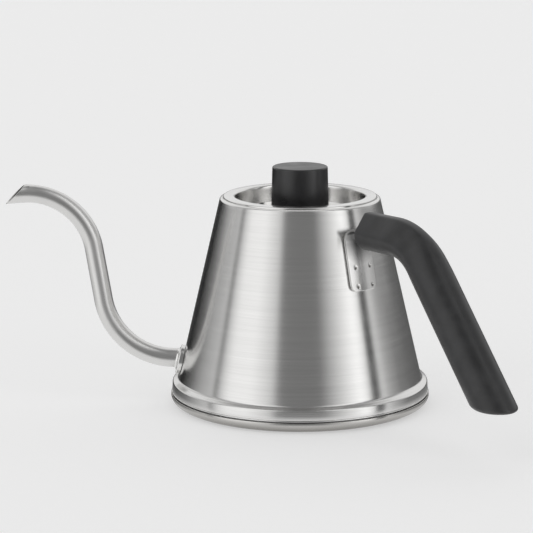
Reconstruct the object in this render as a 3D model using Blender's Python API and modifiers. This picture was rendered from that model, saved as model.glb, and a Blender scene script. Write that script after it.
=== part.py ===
"""Gooseneck pour-over kettle: a pressed steel cone with a recessed lid, a thin swan-neck spout
low on its side and an open-ended plastic handle on a welded strap.

Lengths below are millimetres and angles are degrees; MM turns them into Blender's metres.
+Z is up, the origin is the centre of the flat underside, and the spout leaves towards -X.
"""
import math

import bmesh
import bpy
import numpy as np
from mathutils import Matrix, Vector

MM = 0.001
GAP = 0.3                      # left between pieces that touch on the real kettle
OVERRUN = 2.0                  # how far a cutter passes the face that it cuts

# Vessel
BASE_R = 70.0                  # the widest ring, at the table
BASE_H = 5.7                   # height of that ring
BASE_EDGE_RISE = 4.6           # its lower edge is a quarter ellipse, this high
BASE_EDGE_RUN = 5.6            # and this wide
BASE_EDGE_POINTS = 6
BASE_WALL = 0.9
FLOOR_T = 0.8                  # vessel floor, whose edge shows as a bead above the base ring
FLOOR_STEP = 0.4               # floor inside the base ring
SHEET = 0.6                    # body sheet
FOOT_STEP = 0.65               # foot of the flared skirt inside the base ring
FOOT_DRAFT = 0.25              # how much narrower the skirt is where it turns down
FOOT_TURN_H = 5.0              # height of that turn above the skirt's foot
FOOT_BEND_R = 1.2
FLARE_H = 6.2                  # where the cone runs out into the skirt, above the skirt's foot
FLARE_OUT = 3.55               # how far the skirt's foot stands out beyond the cone
FLARE_BEND_R = 2.0
SHOULDER_DROP = 1.6            # shoulder below the rim
SHOULDER_RISE = 0.5            # slope of the shoulder up to the collar
SHOULDER_W = 1.3
SHOULDER_BEND_R = 1.1

# Collar: rim, lid well and seat, pressed from one sheet
RIM_Z = 113.2
COLLAR_R = 41.1
COLLAR_SHEET = 0.7
SEAM = 0.5                     # open groove between collar and shoulder
RIM_W = 6.2
WELL_DEPTH = 10.0
WELL_DRAFT = 0.7               # how much narrower the well is at its foot
SEAT_W = 5.2                   # ledge that the lid lies on
MOUTH_LIP = 4.0
RIM_FALL = 0.15                # outer edge of the rim below its inner edge
COLLAR_HANG = 3.4              # depth of the collar's outer flange
COLLAR_BENDS = (1.0, 0.8, 1.2, 0.6)     # mouth, seat, rim inside, rim outside

# Lid and knob
LID_T = 0.7
LID_CLEARANCE = 0.6            # between the lid's edge and the well
SKIRT_CLEARANCE = 0.7          # between the lid's skirt and the mouth
SKIRT_DEPTH = 12.0
SKIRT_LEDGE = 3.0              # width of the flange that the skirt is welded by
SKIRT_BEND_R = 1.2
VENT_R = 1.5
VENT_INSET = 2.3               # vent inside the skirt's flange
KNOB_TOP_R = 14.8
KNOB_FOOT_R = 15.4
KNOB_H = 24.2
KNOB_WALL = 2.2
KNOB_EDGE_R = 1.0
KNOB_DISH = 0.25               # depth of the hollow in its top
KNOB_BOSS_WALL = 1.8
KNOB_STEPS = 36
THREAD_R = 2.0                 # all screws are M4
HEAD_R = 3.6
HEAD_H = 2.5
HEAD_DOME = 0.8
TIP_CHAMFER = 0.4
TIP_SHORT = 1.0                # screw tip below the end of its insert
INSERT_WALL = 0.9
KNOB_INSERT_H = 12.0
WASHER_R = 5.5
WASHER_T = 0.8

# Spout
SPOUT_ROOT_R = 5.2             # outside radius at the body
SPOUT_TIP_R = 4.8
SPOUT_WALL = 0.5
SPOUT_HEIGHT = 23.2            # centre of the tube where it passes the wall
SPOUT_RISE = 3.5               # its slope there
SPOUT_RUN = 37.6               # wall to the corner of the lower bend
SPOUT_LOWER_BEND_R = 38.5
SPOUT_LEAN = 9.3               # upright run, away from vertical
SPOUT_OVER_RIM = 0.6           # highest point of the centreline above the rim
SPOUT_UPPER_BEND_R = 35.6
SPOUT_DROOP = 5.0              # slope of the straight end, below level
SPOUT_OUT = 88.8               # wall to the middle of the mouth
SPOUT_CUT = 45.6               # slope of the mouth
SPOUT_INSIDE = 2.0             # how far the tube stands into the vessel
FLANGE_R = 8.1
FLANGE_DROP = 1.0              # the ring's centre below the tube's
FLANGE_T = 2.4
FLANGE_EDGE_R = 0.8
SPOUT_STEP = 3.5               # distance between the rings of the tube

# Handle, in a vertical plane that stands HANDLE_AZIMUTH from -Y towards +X
HANDLE_AZIMUTH = 39.0
HANDLE_STANDOFF = 10.8         # wall to the flat end of the handle
HANDLE_DROP = 11.4             # centreline of the level run below the rim
HANDLE_RUN = 36.6              # flat end to the corner of the bend
HANDLE_BEND_R = 30.0
GRIP_SLOPE = 38.5              # grip, away from vertical
GRIP_END_Z = 26.0
GRIP_END_SLOPE = 1.5
GRIP_EDGE_R = 3.2
GRIP_HALF_WIDTH = 10.8
GRIP_HALF_DEPTH = 10.5
NECK_HALF_WIDTH = 9.75
NECK_HALF_DEPTH = 10.1
RIDGE_CORNER_U = 2.4           # where the roof of the neck meets its narrow flat top
GRIP_WALL = 4.6
GRIP_HOLLOW = 62.0             # length of the hollow behind the end cap
CAP_T = 4.0
CAP_INSET = 0.6
HANDLE_SIDES = 28
ROOF_SHARPNESS = 36            # power of the blend between roof, top and belly: higher is crisper
BLEND_PAST = 1.4               # the roof has gone after this many lengths of the bend
END_TURN_FROM = 34.0           # the sections turn towards the slanted end this far before it
END_TURN_RUN = 28.0            # and over this length

# Strap between vessel and handle
STRAP_W = 17.5
STRAP_T = 1.5
STRAP_LENGTH = 32.2            # foot of the strap below the handle's centreline
STRAP_CORNER_R = 3.5
STRAP_BEND_R = 6.0
TONGUE_W = 11.0
TONGUE_LENGTH = 24.0           # inside the handle
TONGUE_STEP = 0.6              # length over which the strap narrows to the tongue
STRAP_FLAT = 0.2               # least straight length between the bend and that step
SCREW_SPACINGS = (6.5, 17.5)   # flat end of the handle to each screw
HEAD_DEPTH = 2.2               # screw heads below the handle's belly
HANDLE_INSERT_H = 4.4

RING_STEPS = 48
SMALL_STEPS = 20

# Sizes that follow
FLOOR_R = BASE_R - FLOOR_STEP
FLOOR_Z = BASE_H + GAP
FOOT_R = BASE_R - FOOT_STEP
FOOT_Z = FLOOR_Z + FLOOR_T + GAP
CONE_FOOT_R = FOOT_R - FLARE_OUT
FLARE_Z = FOOT_Z + FLARE_H
CONE_TOP_R = COLLAR_R + SEAM + SHOULDER_W
SHOULDER_Z = RIM_Z - SHOULDER_DROP
CONE_SLOPE = (CONE_FOOT_R - CONE_TOP_R) / (SHOULDER_Z - FLARE_Z)
WELL_R = COLLAR_R - RIM_W
SEAT_R = WELL_R - WELL_DRAFT
SEAT_Z = RIM_Z - WELL_DEPTH
MOUTH_R = SEAT_R - SEAT_W
LID_Z = SEAT_Z + GAP
LID_TOP = LID_Z + LID_T
SKIRT_R = MOUTH_R - SKIRT_CLEARANCE
SKIRT_TOP = LID_Z - GAP
VENT_OFFSET = SKIRT_R - SKIRT_LEDGE - VENT_INSET
KNOB_Z = LID_TOP + GAP
HOLE_R = THREAD_R + GAP


def wall_radius(z):
    """Outside radius of the cone at height z."""
    return CONE_FOOT_R - CONE_SLOPE * (z - FLARE_Z)


SPOUT_CORNER = wall_radius(SPOUT_HEIGHT) + SPOUT_RUN
SPOUT_REACH = wall_radius(SPOUT_HEIGHT) + SPOUT_OUT
SPOUT_TOP = RIM_Z + SPOUT_OVER_RIM
HANDLE_Z = RIM_Z - HANDLE_DROP
HANDLE_START = wall_radius(HANDLE_Z) + HANDLE_STANDOFF
HANDLE_CORNER = HANDLE_START + HANDLE_RUN
STRAP_FOOT_Z = HANDLE_Z - STRAP_LENGTH
TONGUE_TOP = HANDLE_Z + STRAP_T
TONGUE_END = HANDLE_START + TONGUE_LENGTH
HANDLE_SCREWS = [HANDLE_START + spacing for spacing in SCREW_SPACINGS]


def empty_scene():
    for obj in list(bpy.data.objects):
        bpy.data.objects.remove(obj, do_unlink=True)


def new_collection(name):
    coll = bpy.data.collections.new(name)
    bpy.context.scene.collection.children.link(coll)
    return coll


def finish(name, colour, roughness, metallic):
    """A Principled material."""
    mat = bpy.data.materials.new(name)
    mat.use_nodes = True
    shader = mat.node_tree.nodes["Principled BSDF"]
    shader.inputs["Base Color"].default_value = (*colour, 1.0)
    shader.inputs["Roughness"].default_value = roughness
    shader.inputs["Metallic"].default_value = metallic
    mat.diffuse_color = (*colour, 1.0)
    return mat


def frame_at(name, matrix):
    """An empty that carries the pieces built in its own axes."""
    empty = bpy.data.objects.new(name, None)
    empty.empty_display_size = 0.02
    PARTS.objects.link(empty)
    empty.matrix_world = matrix
    return empty


def add_object(name, mesh, mat=None, parent=None):
    """A finished piece with a material, or a hidden cutter without one."""
    obj = bpy.data.objects.new(name, mesh)
    if mat is None:
        CUTTERS.objects.link(obj)
        obj.hide_render = True
        obj.display_type = "WIRE"
    else:
        PARTS.objects.link(obj)
        mesh.materials.append(mat)
    obj.parent = parent
    return obj


def filleted(corners, segments=4):
    """Points along (x, z, radius) corners, each rounded by an arc of its radius."""
    points = []
    for index, (x, z, radius) in enumerate(corners):
        if radius == 0:
            points.append((x, z))
            continue
        here = Vector((x, z))
        back = (Vector(corners[index - 1][:2]) - here).normalized()
        ahead = (Vector(corners[index + 1][:2]) - here).normalized()
        half = back.angle(ahead) / 2
        centre = here + (back + ahead).normalized() * radius / math.sin(half)
        spoke = here + back * radius / math.tan(half) - centre
        turn = math.copysign(math.pi - 2 * half, -back.cross(ahead))
        for step in range(segments + 1):
            point = centre + Matrix.Rotation(turn * step / segments, 2) @ spoke
            points.append((point.x, point.y))
    return points


def turned(name, profile, mat, parent=None, steps=RING_STEPS, sheet=0.0):
    """Turn (radius, height) points about Z: down the outer side, and back up the inner side.

    With sheet the profile is one open line, and the thickness lies behind its visible side.
    """
    mesh = bpy.data.meshes.new(name)
    edges = [(i, i + 1) for i in range(len(profile) - 1)]
    if not sheet and profile[0][0] > 0:
        edges.append((len(profile) - 1, 0))
    mesh.from_pydata([(r * MM, 0, z * MM) for r, z in profile], edges, [])
    obj = add_object(name, mesh, mat, parent)
    screw = obj.modifiers.new("Turn", "SCREW")
    screw.axis = "Z"
    screw.steps = steps
    screw.render_steps = steps
    screw.use_smooth_shade = True
    screw.use_merge_vertices = True
    screw.merge_threshold = 1e-6
    if sheet:
        wall = obj.modifiers.new("Sheet", "SOLIDIFY")
        wall.thickness = sheet * MM
        wall.offset = -1
        wall.use_even_offset = True
    return obj


def rod(name, radius, low, high, mat=None, parent=None, at=(0, 0), steps=SMALL_STEPS):
    """A plain round rod along Z."""
    mesh = bpy.data.meshes.new(name)
    bm = bmesh.new()
    bmesh.ops.create_cone(
        bm, cap_ends=True, segments=steps, radius1=radius * MM, radius2=radius * MM,
        depth=(high - low) * MM)
    bm.to_mesh(mesh)
    bm.free()
    obj = add_object(name, mesh, mat, parent)
    obj.location = (at[0] * MM, at[1] * MM, (low + high) / 2 * MM)
    return obj


def block(name, size, centre, parent=None):
    """A box cutter, with its size in its mesh."""
    mesh = bpy.data.meshes.new(name)
    bm = bmesh.new()
    bmesh.ops.create_cube(bm, size=MM)
    bmesh.ops.scale(bm, vec=size, verts=bm.verts)
    bm.to_mesh(mesh)
    bm.free()
    obj = add_object(name, mesh, None, parent)
    obj.location = Vector(centre) * MM
    return obj


def cut(obj, cutter, operation="DIFFERENCE"):
    boolean = obj.modifiers.new(cutter.name, "BOOLEAN")
    boolean.operation = operation
    boolean.solver = "EXACT"
    boolean.object = cutter


def pipe(name, path, radii, mat=None, parent=None, bevel_resolution=4):
    """A round bar along the XZ points of path, made a mesh so that it can be cut."""
    curve = bpy.data.curves.new(name, "CURVE")
    curve.dimensions = "3D"
    curve.bevel_depth = MM
    curve.bevel_resolution = bevel_resolution
    curve.use_fill_caps = True
    spline = curve.splines.new("POLY")
    spline.points.add(len(path) - 1)
    for point, (x, z), radius in zip(spline.points, path, radii):
        point.co = (x * MM, 0, z * MM, 1)
        point.radius = radius
    guide = bpy.data.objects.new(name + "_guide", curve)
    CUTTERS.objects.link(guide)
    graph = bpy.context.evaluated_depsgraph_get()
    mesh = bpy.data.meshes.new_from_object(guide.evaluated_get(graph))
    bpy.data.objects.remove(guide, do_unlink=True)
    bm = bmesh.new()
    bm.from_mesh(mesh)
    bmesh.ops.remove_doubles(bm, verts=bm.verts, dist=1e-6)
    bmesh.ops.recalc_face_normals(bm, faces=bm.faces)
    bm.to_mesh(mesh)
    bm.free()
    mesh.materials.clear()
    mesh.shade_smooth()
    return add_object(name, mesh, mat, parent)


def loft(name, rings, mat=None, parent=None):
    """Skin a stack of equal-sized closed rings and cap both ends."""
    stations, sides, _ = rings.shape
    index = np.arange(stations * sides).reshape(stations, sides)
    after = np.roll(index, -1, axis=1)
    quads = np.stack([index[:-1], after[:-1], after[1:], index[1:]], axis=-1).reshape(-1, 4)
    faces = quads.tolist() + [index[0][::-1].tolist(), index[-1].tolist()]
    mesh = bpy.data.meshes.new(name)
    mesh.from_pydata((rings.reshape(-1, 3) * MM).tolist(), [], faces)
    bm = bmesh.new()
    bm.from_mesh(mesh)
    bmesh.ops.recalc_face_normals(bm, faces=bm.faces)
    bm.to_mesh(mesh)
    bm.free()
    mesh.shade_smooth()
    return add_object(name, mesh, mat, parent)


# Vessel ---------------------------------------------------------------------------------------

def base_arc(inset):
    """Quarter ellipse of the base's lower edge, from its side to its underside."""
    centre_r = BASE_R - BASE_EDGE_RUN
    return [(centre_r + (BASE_EDGE_RUN - inset) * math.cos(angle),
             BASE_EDGE_RISE - (BASE_EDGE_RISE - inset) * math.sin(angle))
            for angle in np.linspace(0, math.pi / 2, BASE_EDGE_POINTS)]


def build_base(steel, aluminium):
    """Sandwich base: a steel cap, the aluminium heat spreader inside it, and the vessel floor."""
    inner_arc = base_arc(BASE_WALL)
    profile = [(0, BASE_WALL)] + inner_arc[::-1]
    profile += [(BASE_R - BASE_WALL, BASE_H), (BASE_R - BASE_WALL / 2, BASE_H)]
    profile += base_arc(0) + [(0, 0)]
    turned("base_cap", profile, steel)

    core_arc = base_arc(BASE_WALL + GAP)
    turned("heat_spreader", [(0, BASE_H), (core_arc[0][0], BASE_H)] + core_arc
           + [(0, BASE_WALL + GAP)], aluminium)

    middle = FLOOR_Z + FLOOR_T / 2
    turned("vessel_floor", [(0, FLOOR_Z + FLOOR_T), (FLOOR_R - FLOOR_T / 2, FLOOR_Z + FLOOR_T),
                            (FLOOR_R, middle), (FLOOR_R - FLOOR_T / 2, FLOOR_Z), (0, FLOOR_Z)], steel)


def build_body(steel):
    """Conical wall: rounded shoulder above, flared skirt below."""
    outline = filleted([
        (COLLAR_R + SEAM, SHOULDER_Z + SHOULDER_RISE, 0),
        (CONE_TOP_R, SHOULDER_Z, SHOULDER_BEND_R),
        (CONE_FOOT_R, FLARE_Z, FLARE_BEND_R),
        (FOOT_R - FOOT_DRAFT, FOOT_Z + FOOT_TURN_H, FOOT_BEND_R),
        (FOOT_R, FOOT_Z, 0)], segments=2)
    return turned("body_shell", outline, steel, sheet=SHEET)


def build_collar(steel):
    """Mouth lip, lid seat, well wall, rim and the flange that hangs inside the shoulder."""
    mouth_bend, seat_bend, rim_bend, edge_bend = COLLAR_BENDS
    outline = filleted([
        (MOUTH_R, SEAT_Z - MOUTH_LIP, 0),
        (MOUTH_R, SEAT_Z, mouth_bend),
        (SEAT_R, SEAT_Z, seat_bend),
        (WELL_R, RIM_Z, rim_bend),
        (COLLAR_R, RIM_Z - RIM_FALL, edge_bend),
        (COLLAR_R, RIM_Z - COLLAR_HANG, 0)], segments=2)
    return turned("top_collar", outline, steel, sheet=COLLAR_SHEET)


# Spout ----------------------------------------------------------------------------------------

def spout_path():
    """Centreline as (distance from the axis, height): level run, bend, upright run, bend."""
    rise = math.radians(SPOUT_RISE)
    lean = math.radians(SPOUT_LEAN)
    wall = wall_radius(SPOUT_HEIGHT)
    start_x = wall - SHEET - SPOUT_INSIDE
    start = (start_x, SPOUT_HEIGHT + (start_x - wall) * math.tan(rise))
    corner = (SPOUT_CORNER, SPOUT_HEIGHT + (SPOUT_CORNER - wall) * math.tan(rise))
    bend_z = SPOUT_TOP - SPOUT_UPPER_BEND_R * (1 - math.sin(lean))
    bend_x = corner[0] + (bend_z - corner[1]) * math.tan(lean)
    turn = math.pi / 2 + lean - rise
    points = filleted([(*start, 0), (*corner, SPOUT_LOWER_BEND_R), (bend_x, bend_z, 0)],
                      segments=math.ceil(SPOUT_LOWER_BEND_R * turn / SPOUT_STEP))
    centre_x = bend_x + SPOUT_UPPER_BEND_R * math.cos(lean)
    centre_z = SPOUT_TOP - SPOUT_UPPER_BEND_R
    droop = math.radians(SPOUT_DROOP)
    count = math.ceil(SPOUT_UPPER_BEND_R * (math.pi / 2 + droop - lean) / SPOUT_STEP)
    for angle in np.linspace(lean, math.pi / 2 + droop, count + 1)[1:]:
        points.append((centre_x - SPOUT_UPPER_BEND_R * math.cos(angle),
                       centre_z + SPOUT_UPPER_BEND_R * math.sin(angle)))
    last_x, last_z = points[-1]
    tip = (SPOUT_REACH, last_z - (SPOUT_REACH - last_x) * math.tan(droop))
    end_x = SPOUT_REACH + 2 * SPOUT_TIP_R
    points.append((end_x, last_z - (end_x - last_x) * math.tan(droop)))
    return points, tip


def build_spout(steel, body):
    """Bent tube with a slanted mouth, and the welded ring where it enters the wall."""
    frame = frame_at("spout_frame", Matrix.Rotation(math.pi, 4, "Z"))
    path, tip = spout_path()
    lengths = np.hypot(*np.diff(np.array(path), axis=0).T)
    along = np.concatenate([[0], np.cumsum(lengths)]) / lengths.sum()
    radii = SPOUT_ROOT_R + (SPOUT_TIP_R - SPOUT_ROOT_R) * along

    tube = pipe("spout_tube", path, radii, steel, frame)
    first = Vector(path[0])
    heading = (first - Vector(path[1])).normalized()
    last = Vector(path[-1])
    exit_heading = (last - Vector(path[-2])).normalized()
    bore_path = [tuple(first + heading * OVERRUN)] + path
    bore_path.append(tuple(last + exit_heading * OVERRUN))
    bore_radii = np.concatenate([[radii[0]], radii, [radii[-1]]]) - SPOUT_WALL
    cut(tube, pipe("spout_bore", bore_path, bore_radii, None, frame))

    cut_size = 8 * SPOUT_TIP_R
    slope = math.radians(SPOUT_CUT)
    normal = Vector((math.sin(slope), 0, math.cos(slope)))
    end = block("spout_end_cut", (cut_size, cut_size, cut_size), (0, 0, 0), frame)
    end.rotation_euler = (0, slope, 0)
    end.location = (Vector((tip[0], 0, tip[1])) + normal * cut_size / 2) * MM
    cut(tube, end)

    reach = SPOUT_INSIDE + SHEET + FLANGE_T + FLANGE_R
    hole_path = [tuple(first + heading * OVERRUN), tuple(first - heading * reach)]
    hole = pipe("spout_hole", hole_path, [SPOUT_ROOT_R + GAP] * 2, None, frame)
    cut(body, hole)

    wall_angle = math.atan(CONE_SLOPE)
    ring = turned("spout_flange", filleted([
        (0, FLANGE_T, 0), (FLANGE_R, FLANGE_T, FLANGE_EDGE_R),
        (FLANGE_R, -FLANGE_T, 0), (0, -FLANGE_T, 0)], segments=3), steel, frame, steps=SMALL_STEPS)
    ring_z = SPOUT_HEIGHT - FLANGE_DROP
    ring.location = (wall_radius(ring_z) * MM, 0, ring_z * MM)
    ring.rotation_euler = (0, math.pi / 2 - wall_angle, 0)
    cut(ring, hole)
    cut(ring, WALL_CLEARANCE)


# Handle ---------------------------------------------------------------------------------------

def handle_path():
    """Length, position and heading along the handle's centreline, as functions of length."""
    slope = math.radians(GRIP_SLOPE)
    turn = math.pi / 2 - slope
    tangent = HANDLE_BEND_R * math.tan(turn / 2)
    level = HANDLE_CORNER - tangent - HANDLE_START
    bend = HANDLE_BEND_R * turn
    bend_end = (HANDLE_CORNER + tangent * math.sin(slope), HANDLE_Z - tangent * math.cos(slope))
    grip = (bend_end[1] - GRIP_END_Z) / math.cos(slope)

    def at(length):
        """Centre (x, z) and the angle of the heading below level, at lengths along the path."""
        s = np.asarray(length, float)
        angle = np.clip((s - level) / HANDLE_BEND_R, 0, turn)
        x = HANDLE_START + np.minimum(s, level) + HANDLE_BEND_R * np.sin(angle)
        z = HANDLE_Z - HANDLE_BEND_R * (1 - np.cos(angle))
        rest = np.maximum(s - level - bend, 0)
        return x + rest * np.sin(slope), z - rest * np.cos(slope), angle

    return at, level, bend, level + bend + grip


def handle_section(weight, inset):
    """Half-outline radii in polar form: a roofed neck at weight 0, an oval grip at weight 1."""
    theta = (np.arange(HANDLE_SIDES) + 0.5) * 2 * math.pi / HANDLE_SIDES
    u = np.abs(np.cos(theta))
    v = np.sin(theta)
    oval = 1 / np.hypot(u / (GRIP_HALF_WIDTH - inset), v / (GRIP_HALF_DEPTH - inset))
    belly = 1 / np.hypot(u / (NECK_HALF_WIDTH - inset), v / (NECK_HALF_DEPTH - inset))
    roof = np.array([NECK_HALF_DEPTH, NECK_HALF_WIDTH - RIDGE_CORNER_U])
    roof = roof / np.hypot(*roof)
    reach = roof[0] * NECK_HALF_WIDTH - inset
    roof_term = (roof[0] * u + roof[1] * v) / reach
    top_term = v / (NECK_HALF_DEPTH - inset)
    terms = np.maximum(np.stack([1 / belly, roof_term, top_term]), 0)
    neck = np.sum(terms ** ROOF_SHARPNESS, axis=0) ** (-1 / ROOF_SHARPNESS)
    radius = neck * (1 - weight) + oval * weight
    return radius * np.cos(theta), radius * np.sin(theta)


def handle_rings(lengths, inset=0.0, rounding=0.0, lift=0.0):
    """Rings of the handle's outline at the given lengths, inset from its surface.

    The last ring lies in the slanted end plane. rounding adds rings that round its edge, and
    lift shifts the end back along the path.
    """
    at, level, bend, total = handle_path()
    stations = [(s, inset) for s in lengths]
    if rounding:
        stations = [(s, i) for s, i in stations if s < total - rounding]
        for angle in np.linspace(0, math.pi / 2, 4):
            stations.append((total - rounding * (1 - math.sin(angle)),
                             inset + rounding * (1 - math.cos(angle))))
    rings = []
    for s, shrink in stations:
        x, z, angle = at(s - lift)
        blend = np.clip((s - level / 2) / (level / 2 + bend * BLEND_PAST), 0, 1)
        weight = blend * blend * (3 - 2 * blend)
        u, v = handle_section(weight, shrink)
        upright = math.pi / 2 - angle
        flat = math.radians(GRIP_END_SLOPE)
        ease = np.clip((s - total + END_TURN_FROM) / END_TURN_RUN, 0, 1)
        plane = upright + (flat - upright) * ease * ease * (3 - 2 * ease)
        stretch = 1 / math.cos(upright - plane)
        rings.append(np.stack([x + v * stretch * math.cos(plane), u,
                               z + v * stretch * math.sin(plane)], axis=-1))
    return np.array(rings)


def build_grip(plastic, frame):
    """Moulded grip, hollow towards its open end, and the cap that closes the hollow."""
    at, level, bend, total = handle_path()
    lengths = np.concatenate([
        np.linspace(0, level, 4)[:-1], np.linspace(level, level + bend, 9)[:-1],
        np.linspace(level + bend, total, 13)])
    grip = loft("handle_grip", handle_rings(lengths, rounding=GRIP_EDGE_R), plastic, frame)
    hollow = np.linspace(total - GRIP_HOLLOW, total + OVERRUN, 12)
    cut(grip, loft("grip_hollow", handle_rings(hollow, inset=GRIP_WALL), None, frame))
    plug = np.linspace(total - CAP_T, total, 3)
    loft("handle_end_cap", handle_rings(plug, inset=GRIP_WALL + GAP, lift=CAP_INSET), plastic,
         frame)
    return grip


def strap_line():
    """Wall-side line of the strap, bottom to top and out along the tongue, and its row widths."""
    top = TONGUE_TOP
    foot_x = wall_radius(STRAP_FOOT_Z) + GAP
    corner_x = wall_radius(top) + GAP
    neck_x = HANDLE_START - GAP
    room = neck_x - TONGUE_STEP - STRAP_FLAT - corner_x
    half_turn = (math.pi / 2 + math.atan(CONE_SLOPE)) / 2
    bend_r = min(STRAP_BEND_R + STRAP_T, room / math.tan(half_turn))
    bend = filleted([(foot_x, STRAP_FOOT_Z, 0), (corner_x, top, bend_r), (TONGUE_END, top, 0)],
                    segments=6)
    slope = (corner_x - foot_x) / (top - STRAP_FOOT_Z)
    rows = []
    for drop in STRAP_CORNER_R * (1 - np.cos(np.linspace(0, math.pi / 2, 4))):
        edge = STRAP_CORNER_R - math.sqrt(STRAP_CORNER_R**2 - (STRAP_CORNER_R - drop)**2)
        rows.append((foot_x + slope * drop, STRAP_FOOT_Z + drop, STRAP_W / 2 - edge, 1.0))
    bend_rows = bend[1:-1]
    for number, (x, z) in enumerate(bend_rows):
        rows.append((x, z, STRAP_W / 2, 1 - number / (len(bend_rows) - 1)))
    rows.append((neck_x - TONGUE_STEP, top, STRAP_W / 2, 0.0))
    rows.append((neck_x, top, TONGUE_W / 2, 0.0))
    rows.append((TONGUE_END, top, TONGUE_W / 2, 0.0))
    return rows


def build_strap(steel, frame):
    """Welded strap: curved to the cone, bent over at the top into a flat tongue."""
    rows = strap_line()
    across = np.linspace(-1, 1, 9)
    grid = []
    for x, z, half_width, curved in rows:
        y = across * half_width
        radius = wall_radius(z) + GAP
        sag = (radius - np.sqrt(radius**2 - y**2)) * curved
        grid.append(np.stack([x - sag, y, np.full_like(y, z)], axis=-1))
    grid = np.array(grid)
    count, wide, _ = grid.shape
    index = np.arange(count * wide).reshape(count, wide)
    quads = np.stack([index[:-1, :-1], index[:-1, 1:], index[1:, 1:], index[1:, :-1]], axis=-1)
    mesh = bpy.data.meshes.new("handle_bracket")
    mesh.from_pydata((grid.reshape(-1, 3) * MM).tolist(), [], quads.reshape(-1, 4).tolist())
    strap = add_object("handle_bracket", mesh, steel, frame)
    solid = strap.modifiers.new("Sheet", "SOLIDIFY")
    solid.thickness = STRAP_T * MM
    solid.offset = 1
    solid.use_even_offset = True
    for number, x in enumerate(HANDLE_SCREWS):
        cut(strap, rod(f"tongue_hole_{number}", HOLE_R, TONGUE_TOP - STRAP_T - OVERRUN,
                       TONGUE_TOP + OVERRUN, None, frame, at=(x, 0)))
    return strap


def build_fastenings(steel, brass, frame, grip):
    """Slot for the tongue, and two screws from below into brass inserts above the tongue."""
    slot_length = TONGUE_END + GAP - HANDLE_START + OVERRUN
    slot_height = STRAP_T + 2 * GAP
    slot_x = TONGUE_END + GAP - slot_length / 2
    cut(grip, block("tongue_slot", (slot_length, TONGUE_W + 2 * GAP, slot_height),
                    (slot_x, 0, TONGUE_TOP - STRAP_T / 2), frame))
    belly = HANDLE_Z - NECK_HALF_DEPTH
    head_low = belly + HEAD_DEPTH
    head_top = head_low + HEAD_H
    insert_low = TONGUE_TOP + GAP
    insert_top = insert_low + HANDLE_INSERT_H
    insert_r = HOLE_R + INSERT_WALL
    for number, x in enumerate(HANDLE_SCREWS):
        at = (x, 0)
        cut(grip, rod(f"head_hole_{number}", HEAD_R + GAP, belly - OVERRUN, head_top + GAP,
                      None, frame, at))
        cut(grip, rod(f"shank_hole_{number}", HOLE_R, belly, insert_low, None, frame, at))
        cut(grip, rod(f"insert_hole_{number}", insert_r + GAP, TONGUE_TOP, insert_top + GAP,
                      None, frame, at))
        suffix = ("front", "rear")[number]
        screw(f"handle_screw_{suffix}", head_low, insert_top - TIP_SHORT, steel, frame, x)
        sleeve = turned(f"handle_insert_{suffix}", [
            (HOLE_R, insert_top), (insert_r, insert_top), (insert_r, insert_low),
            (HOLE_R, insert_low)], brass, frame, steps=SMALL_STEPS)
        sleeve.location = (x * MM, 0, 0)


def screw(name, head_low, tip, steel, frame, x=0.0):
    """Pan-head screw that points up: domed head below, shank above."""
    head_high = head_low + HEAD_H
    profile = [(0, tip), (THREAD_R - TIP_CHAMFER, tip), (THREAD_R, tip - TIP_CHAMFER),
               (THREAD_R, head_high), (HEAD_R, head_high), (HEAD_R, head_low + HEAD_DOME),
               (HEAD_R - HEAD_DOME, head_low), (0, head_low)]
    turned(name, profile, steel, frame, steps=SMALL_STEPS).location.x = x * MM


# Lid ------------------------------------------------------------------------------------------

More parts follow.
